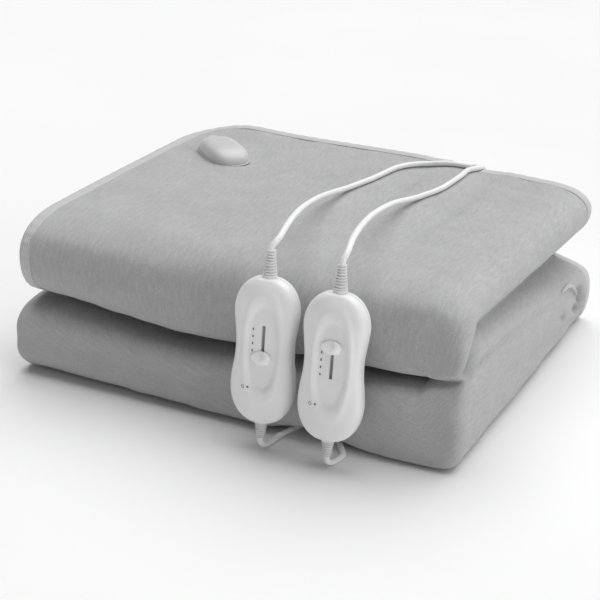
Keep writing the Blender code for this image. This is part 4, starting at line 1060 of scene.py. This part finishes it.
def connectorPart(name, node, rings, spot):
    points = placed(np.array([connectorRing(scale, height) for scale, height in rings]), *spot)
    faces = gridQuads(len(rings), connector["around"], loopColumns=True)
    piece = addPiece(name, points, faces, "stack", "connector", sharp=50,
                     merge=weld)
    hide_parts(node)


def makeConnector():
    # seated on the plane that best fits the cloth under it, its rim a little in the pile;
    # the cover's rings shrink as a power of a cosine while they rise as a sine
    turn = math.radians(connector["turn"])
    alongStep, acrossStep = connector["probe"]
    own = np.array([(i * alongStep, j * acrossStep)
                    for i in range(-3, 4) for j in range(-3, 4)])
    cosine, sine = math.cos(turn), math.sin(turn)
    heights = np.array([topHeight(connector["x"] + i * cosine - j * sine,
                                  connector["y"] + i * sine + j * cosine) for i, j in own])
    plane = np.column_stack([own, np.ones(len(own))])
    fit = np.linalg.lstsq(plane, heights, rcond=None)[0]
    seat = fit[2] - connector["sunk"]
    spot = ((connector["x"], connector["y"], seat), (math.atan(fit[1]), -math.atan(fit[0]), turn))
    flange, wide, soft = connector["flange"], connector["overhang"], connector["round"]
    connectorPart("connectorBase", "connector_base",
                  [(0, 0), (1, 0), (wide, soft), (wide, flange - soft),
                   (1 + (wide - 1) / 3, flange), (0, flange)], spot)
    lower = flange + cloth["join"]
    angles = np.linspace(0, math.pi / 2, connector["rows"])[:-1]
    connectorPart("connectorCover", "connector_cover",
                  [(0, lower)] + [(math.cos(angle) ** connector["squareness"],
                                   lower + connector["height"] * math.sin(angle))
                                  for angle in angles] + [(0, lower + connector["height"])], spot)


makeConnector()
print("connector made")


# leads
# the block behind the bound edge that both leads go into: its bottom and top lie under the
# edge's height, and each relief on it tapers from one radius to another, with ribs: how
# many, depth as a share, how high on the wave they set in
entry = {"x": 0.3035, "halfWidth": 0.0140, "spread": 0.0046, "thick": 0.0130, "low": 0.0360,
         "high": 0.0170, "relief": 0.0060, "off": 0.0085, "rounding": 0.004,
         "reliefRadii": (0.0040, 0.0030), "reliefRibs": (4, 0.10, 0.2), "around": 64,
        # where the bound edge's height is taken, in from its rim
        "inFromRim": 0.004}
# where each lead runs: x, y, z in the stack's coordinates, None where it rests on the cloth
upperRoutes = {
    "left": [(0.2692, -0.0060, 0.1782), (0.2659, 0.0099, 0.1800), (0.2583, 0.0360, 0.1780),
             (0.2472, 0.0733, 0.1720), (0.2370, 0.1133, 0.1640), (0.2295, 0.1508, 0.1560),
             (0.2266, 0.1823, 0.1495), (0.2272, 0.2060, 0.1455), (0.2305, 0.2244, None),
             (0.2350, 0.2452, None), (0.2386, 0.2644, None), (0.2425, 0.2823, None),
             (0.2480, 0.2975, None), (0.2555, 0.3095, None), (0.2645, 0.3165, None),
             (0.2745, 0.3205, None), (0.2835, 0.3245, None)],
    "right": [(0.3290, -0.0070, 0.1778), (0.3244, 0.0114, 0.1810), (0.3155, 0.0466, 0.1785),
              (0.3061, 0.0879, 0.1720), (0.2977, 0.1304, 0.1630), (0.2922, 0.1681, 0.1545),
              (0.2918, 0.1985, 0.1475), (0.2945, 0.2230, None), (0.2995, 0.2400, None),
              (0.3030, 0.2578, None), (0.3042, 0.2800, None), (0.3040, 0.3030, None),
              (0.3036, 0.3180, None)],
}


def bootTip(side, end):
    # a boot's tip and the direction that its lead leaves it in
    sign = 1 if end == "top" else -1
    reach = sign * (shell["half"] + 2 * shell["join"] + boots[end]["length"])
    tip, inside = onController(side, [(0, 0, reach), (0, 0, reach - sign)])
    return tip, tip - inside


def edgeHeight():
    # height of the cloth's bound back edge, beside the block
    return topHeight(entry["x"], cloth["backEdge"] - entry["inFromRim"])


def entryTop(sign, height):
    # the top of a lead's relief on the entry block
    return (entry["x"] + sign * entry["spread"], cloth["backEdge"] + entry["off"],
            height - entry["high"] + entry["relief"] + cloth["join"])


def addCurve(name, points, body, finish):
    # a round lead along a line of points
    curve = bpy.data.curves.new(name, "CURVE")
    curve.dimensions = "3D"
    curve.bevel_depth = lead["diameter"] / 2
    curve.bevel_resolution = 7
    curve.use_fill_caps = True
    spline = curve.splines.new("POLY")
    spline.points.add(len(points) - 1)
    line = np.concatenate([inFrame(points), np.ones((len(points), 1))], axis=1)
    spline.points.foreach_set("co", line.ravel())
    spline.use_smooth = True
    piece = bpy.data.objects.new(name, curve)
    bpy.context.scene.collection.objects.link(piece)
    curve.materials.append(finishes[finish])
    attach(piece, body)
    return piece


def lineLength(points):
    return float(np.linalg.norm(np.diff(points, axis=0), axis=1).sum())


def makeBlanketLead(side):
    # from inside the top boot, along the route, over the bound edge and down into its relief
    tip, heading = bootTip(side, "top")
    table = [tip - heading * lead["inBoot"], tip + heading * 0.002]
    table += [(x, y, underLead(x, y) if z is None else z) for x, y, z in upperRoutes[side]]
    height = edgeHeight()
    x, y, z = entryTop(-1 if side == "left" else 1, height)
    back = cloth["backEdge"]
    table += [(x, back - 0.0080, height + 0.0030), (x, back + 0.0030, height + 0.0015),
              (x, y - 0.0006, height - 0.0050), (x, y, z - 0.003)]
    points = evenlyAlong(throughPoints(table, 600), lead["spacing"])
    for point in points[8:-6]:
        point[2] = max(point[2], underLead(point[0], point[1]) or 0)
    piece = addCurve(f"blanketLead-{side}", points, "stack", "lead")
    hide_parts(f"blanket_lead_{side}")
    print("blanket lead", side, round(lineLength(points), 3), "m")


for side in controllers:
    makeBlanketLead(side)

# the mains leads' coils behind the stack, their plugs and ties
coil = {"mean": 0.0275, "step": 0.0050, "behind": 0.0800, "middles": (0.1500, 0.2550),
        # cell of each turn: steps out from the mean radius, layer
        "cells": [(1, 0), (0, 0), (-1, 0), (-1, 1), (0, 1), (0, 2), (1, 2), (1, 1)],
        # the part of the last turn left out, and the parts of a turn in which it slides to
        # the next cell and the end drops to the table outside the bundle
        "leftOut": 0.75, "slides": 0.20, "drops": 0.35, "endCell": (2.0, 0.0)}
plug = {"length": 0.0340, "halfWidth": 0.0125, "halfHeight": 0.0065, "pin": 0.0190,
        "pinRadius": 0.0020, "pinSpread": 0.0093, "tail": 0.0160, "around": 56,
        # the body's rings: share of the length, of the half width, of the half height
        "rings": [(0, 0.24, 0.44), (0.02, 0.30, 0.60), (0.16, 0.42, 0.72), (0.34, 0.88, 1.0),
                  (0.75, 1.0, 1.0), (0.97, 0.98, 0.96), (1.0, 0.90, 0.86)],
        # the finger grip's grooves: depth as a share, spacing, from and to along the length,
        # how high on the wave they set in
        "grip": (0.035, 0.0026, 0.40, 0.72, 0.3), "squareness": 2.6}
tie = {"reach": 0.0078, "thick": 0.0006, "halfWidth": 0.0022, "around": 48}
passageX = settling["passage"]["x"]
# height of the middle of a lead that lies on the table, and of a plug's
lie = lead["diameter"] / 2 + cloth["join"]
plugLie = plug["halfHeight"] + cloth["join"]


def coilPlace(sign):
    # the coil's middle on the table behind the stack
    return coil["middles"][sign > 0], cloth["backEdge"] + coil["behind"]


def coilLine(sign):
    # the wound turns: the angle runs on, and each turn slides to its next cell of the
    # bundle in its last fifth; the end comes down to the table outside the bundle, headed
    # for the plug
    cells = np.array(coil["cells"] + [coil["endCell"]], dtype=float)
    turns = len(coil["cells"]) - coil["leftOut"]
    t = np.linspace(0, turns, 900)
    leg = np.minimum(t.astype(int), len(cells) - 2)
    share = smoothStep((t - leg - 1 + coil["slides"]) / coil["slides"])[:, None]
    cell = cells[leg] * (1 - share) + cells[leg + 1] * share
    drop = smoothStep((t - turns + coil["drops"]) / coil["drops"])[:, None]
    cell = cell * (1 - drop) + cells[-1] * drop
    radius = coil["mean"] + coil["step"] * cell[:, 0]
    height = lie + coil["step"] * cell[:, 1]
    centreX, centreY = coilPlace(sign)
    angle = math.pi - 2 * math.pi * t
    return np.stack([centreX + sign * radius * np.cos(angle), centreY + radius * np.sin(angle),
                     height], axis=-1)


def lowerRoute(side):
    # the listed points from the bottom boot, round under the cloth and out behind
    tip, heading = bootTip(side, "bottom")
    sign = -1 if side == "left" else 1
    x, y, _ = tip
    inner = passageX + sign * lead["apart"]
    return [tip - heading * lead["inBoot"], tip, tip + heading * 0.003,
            (x + 0.0012, y + 0.0050, lie + 0.0010), (x + 0.0030, y + 0.0135, lie),
            (x + 0.0035, y + 0.0225, lie), (0.55 * x + 0.45 * inner, 0.0080, lie),
            (inner + sign * 0.0025, 0.0280, lie),
            (inner, 0.050, lie), (inner, 0.120, lie), (inner, 0.200, lie),
            (inner, 0.280, lie), (inner, cloth["backEdge"] - 0.010, lie)]


def makeTie(side, centreX, centreY, angle):
    # a flat band round the bundle's section, set across it at one angle
    cosine, sine = superEllipse(np.linspace(0, 2 * math.pi, tie["around"], endpoint=False), 4)
    rows = []
    for wide, out in ((-1, 0), (-1, 1), (1, 1), (1, 0)):
        reach = tie["reach"] + tie["thick"] * out
        rows.append(np.stack([coil["mean"] + reach * cosine, 0 * cosine + wide * tie["halfWidth"],
                              lie + coil["step"] + reach * sine], axis=-1))
    points = placed(np.array(rows), (centreX, centreY, 0), (0, 0, angle))
    points[..., 2] = np.maximum(points[..., 2], tape["lowest"])
    faces = gridQuads(4, tie["around"], loopRows=True, loopColumns=True)
    return addPiece(f"coilTie-{side}", points, faces, "stack", "tie", sharp=50)


def makePlug(side, x, y, turn):
    # superellipse rings along the body, grooved at the grip, and two turned pins
    rings = throughPoints(plug["rings"], 60)
    angle = np.linspace(0, 2 * math.pi, plug["around"], endpoint=False)
    cosine, sine = superEllipse(angle, plug["squareness"])
    rings = np.vstack([rings[0] * [1, 0, 0], rings, rings[-1] * [1, 0, 0]])
    along = rings[:, 0]
    deep, spacing, gripFrom, gripTo, setsIn = plug["grip"]
    grooved = np.cos(2 * math.pi * along * plug["length"] / spacing) > setsIn
    grip = 1 - deep * (grooved & (along > gripFrom) & (along < gripTo))
    points = np.stack([
        rings[:, :1] * plug["length"] + 0 * angle,
        rings[:, 1:2] * plug["halfWidth"] * cosine * grip[:, None],
        rings[:, 2:3] * plug["halfHeight"] * sine], axis=-1)
    faces = gridQuads(len(rings), plug["around"], loopColumns=True)
    spot = ((x, y, plugLie), (0, 0, turn))
    body = addPiece(f"plugBody-{side}", placed(points, *spot), faces, "stack", "lead",
                    sharp=50, merge=weld)
    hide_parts(f"plug_{side}")
    pieces = [body]
    radius, tip = plug["pinRadius"], plug["pin"]
    profile = [(0, tip), (radius * 0.55, tip), (radius * 0.88, tip - 0.0005),
               (radius, tip - 0.0014), (radius, 0.0002), (0, 0.0002)]
    for number, across in enumerate((-1, 1), start=1):
        points, faces = turnedSurface(profile, 24)
        points = placed(points, (plug["length"], across * plug["pinSpread"], 0),
                        (0, math.pi / 2, 0))
        pin = addPiece(f"plugPin{number}-{side}", placed(points, *spot), faces, "stack", "pin",
                       sharp=50, merge=weld)
        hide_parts(f"plug_{side}_pin_{number}")
        pieces.append(pin)
    return pieces


def makeMainsLead(side):
    # the run under the stack, the coil's turns and the tail into the plug, as one line
    sign = -1 if side == "left" else 1
    centreX, centreY = coilPlace(sign)
    turns = coilLine(sign)
    start, last = turns[0], turns[-1]
    table = lowerRoute(side)
    inner = table[-1][0]
    table += [
        (0.85 * inner + 0.15 * start[0], cloth["backEdge"] + 0.008, lie),
        (0.40 * inner + 0.60 * start[0], cloth["backEdge"] + 0.030, lie),
        (start[0], centreY - 0.022, lie), tuple(start)]
    run = evenlyAlong(throughPoints(table, 900), lead["spacing"])
    plugX = centreX + sign * (coil["mean"] + coil["step"] * 1.5 + plug["tail"])
    plugY = centreY + coil["mean"]
    tail = [tuple(last), (centreX + sign * 0.0150, last[1] - 0.0018, lie),
            (centreX + sign * 0.0330, plugY + 0.0015, lie + 0.0010),
            (plugX - sign * 0.0050, plugY, plugLie), (plugX + sign * 0.0020, plugY, plugLie)]
    tailRun = evenlyAlong(throughPoints(tail, 100), lead["spacing"])
    points = np.concatenate([run[:-1], turns, tailRun[1:]])
    piece = addCurve(f"mainsLead-{side}", points, "stack", "lead")
    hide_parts(f"mains_lead_{side}", f"mains_coil_{side}", f"mains_tail_{side}")
    pieces = makePlug(side, plugX, plugY, 0 if sign > 0 else math.pi)
    pieces.append(makeTie(side, centreX, centreY, -math.pi / 2))
    print("mains lead", side, round(lineLength(points), 3), "m, seen",
          round(lineLength(run), 3), "turns", round(lineLength(turns), 3))


for side in controllers:
    makeMainsLead(side)
print("leads made")


# lead entry behind the stack
def makeEntry():
    # superellipse rings from the bottom up, rounded at both rims, and two ribbed reliefs
    height = edgeHeight()
    high, low, soft = height - entry["high"], height - entry["low"], entry["rounding"]
    middle = cloth["backEdge"] + cloth["join"] + entry["thick"] / 2
    rows = throughPoints([(0.0, low), (0.80, low), (0.97, low + 0.3 * soft), (1.0, low + soft),
                          (1.0, high - soft), (0.97, high - 0.3 * soft), (0.80, high),
                          (0.0, high)], 57)
    angle = np.linspace(0, 2 * math.pi, entry["around"], endpoint=False)
    cosine, sine = superEllipse(angle, 5)
    share = np.clip(rows[:, :1], 0, 1)
    points = np.stack([entry["x"] + share * entry["halfWidth"] * cosine,
                       middle + share * entry["thick"] / 2 * sine,
                       rows[:, 1:] + 0 * angle], axis=-1)
    block = addPiece("entryBlock", points, gridQuads(len(rows), entry["around"], loopColumns=True),
                     "stack", "boot", sharp=60, merge=weld)
    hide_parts("lead_entry")
    wide, narrow = entry["reliefRadii"]
    along = np.linspace(0, 1, 40)
    count, deep, setsIn = entry["reliefRibs"]
    ribs = np.sin(along * 2 * math.pi * count) > setsIn
    radius = (wide + (narrow - wide) * along) * (1 - deep * ribs)
    profile = np.stack([np.concatenate([[0], radius, [0]]),
                        entry["relief"] * np.concatenate([[0], along, [1]])], axis=1)
    for side, sign in (("left", -1), ("right", 1)):
        x, y, _ = entryTop(sign, height)
        points, faces = turnedSurface(profile, 32)
        relief = addPiece(f"entryRelief-{side}", points + np.array([x, y, high + cloth["join"]]),
                          faces, "stack", "boot", merge=weld)
        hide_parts(f"lead_entry_relief_{side}")


makeEntry()
print("entry made, sheet declared", round(sheetWidth, 3), round(sheetLength, 3))


# floor and lights
studio = {
    # name, direction it comes from, angle it fills in degrees, strength
    "lamps": [("overhead", (0.02, 0.40, 1.00), 75.0, 2.98),
              ("right", (1.00, -0.10, 0.42), 50.0, 0.68)],
    # the sky's brightness by the sine of the height: a pale horizon, dim above
    "sky": [(0.07, "F4F4F4"), (0.17, "505050")], "floorHalf": 6.0,
}


def makeStudio():
    # a wide pale floor, two soft lamps and a sky that dims with height
    half = studio["floorHalf"]
    mesh = bpy.data.meshes.new("floor")
    mesh.from_pydata([(-half, -half, 0), (half, -half, 0), (half, half, 0), (-half, half, 0)],
                     [], [(0, 1, 2, 3)])
    mesh.materials.append(floorMaterial())
    floor = bpy.data.objects.new("floor", mesh)
    bpy.context.scene.collection.objects.link(floor)
    for name, place, fills, strength in studio["lamps"]:
        lamp = bpy.data.lights.new(name, "SUN")
        lamp.angle, lamp.energy = math.radians(fills), strength
        holder = bpy.data.objects.new(name, lamp)
        holder.rotation_euler = Vector(place).to_track_quat("Z", "Y").to_euler()
        bpy.context.scene.collection.objects.link(holder)
    bpy.context.scene.view_settings.view_transform = "Standard"
    world = bpy.data.worlds.new("studioSky")
    world.use_nodes = True
    sky = world.node_tree
    places = addNode(sky, "ShaderNodeTexCoord")
    height = addNode(sky, "ShaderNodeSeparateXYZ", links={"Vector": (places, "Generated")})
    shade = colourRamp(sky, height, "Z", studio["sky"])
    sky.links.new(shade.outputs["Color"], sky.nodes["Background"].inputs["Color"])
    bpy.context.scene.world = world


makeStudio()
print("studio made")
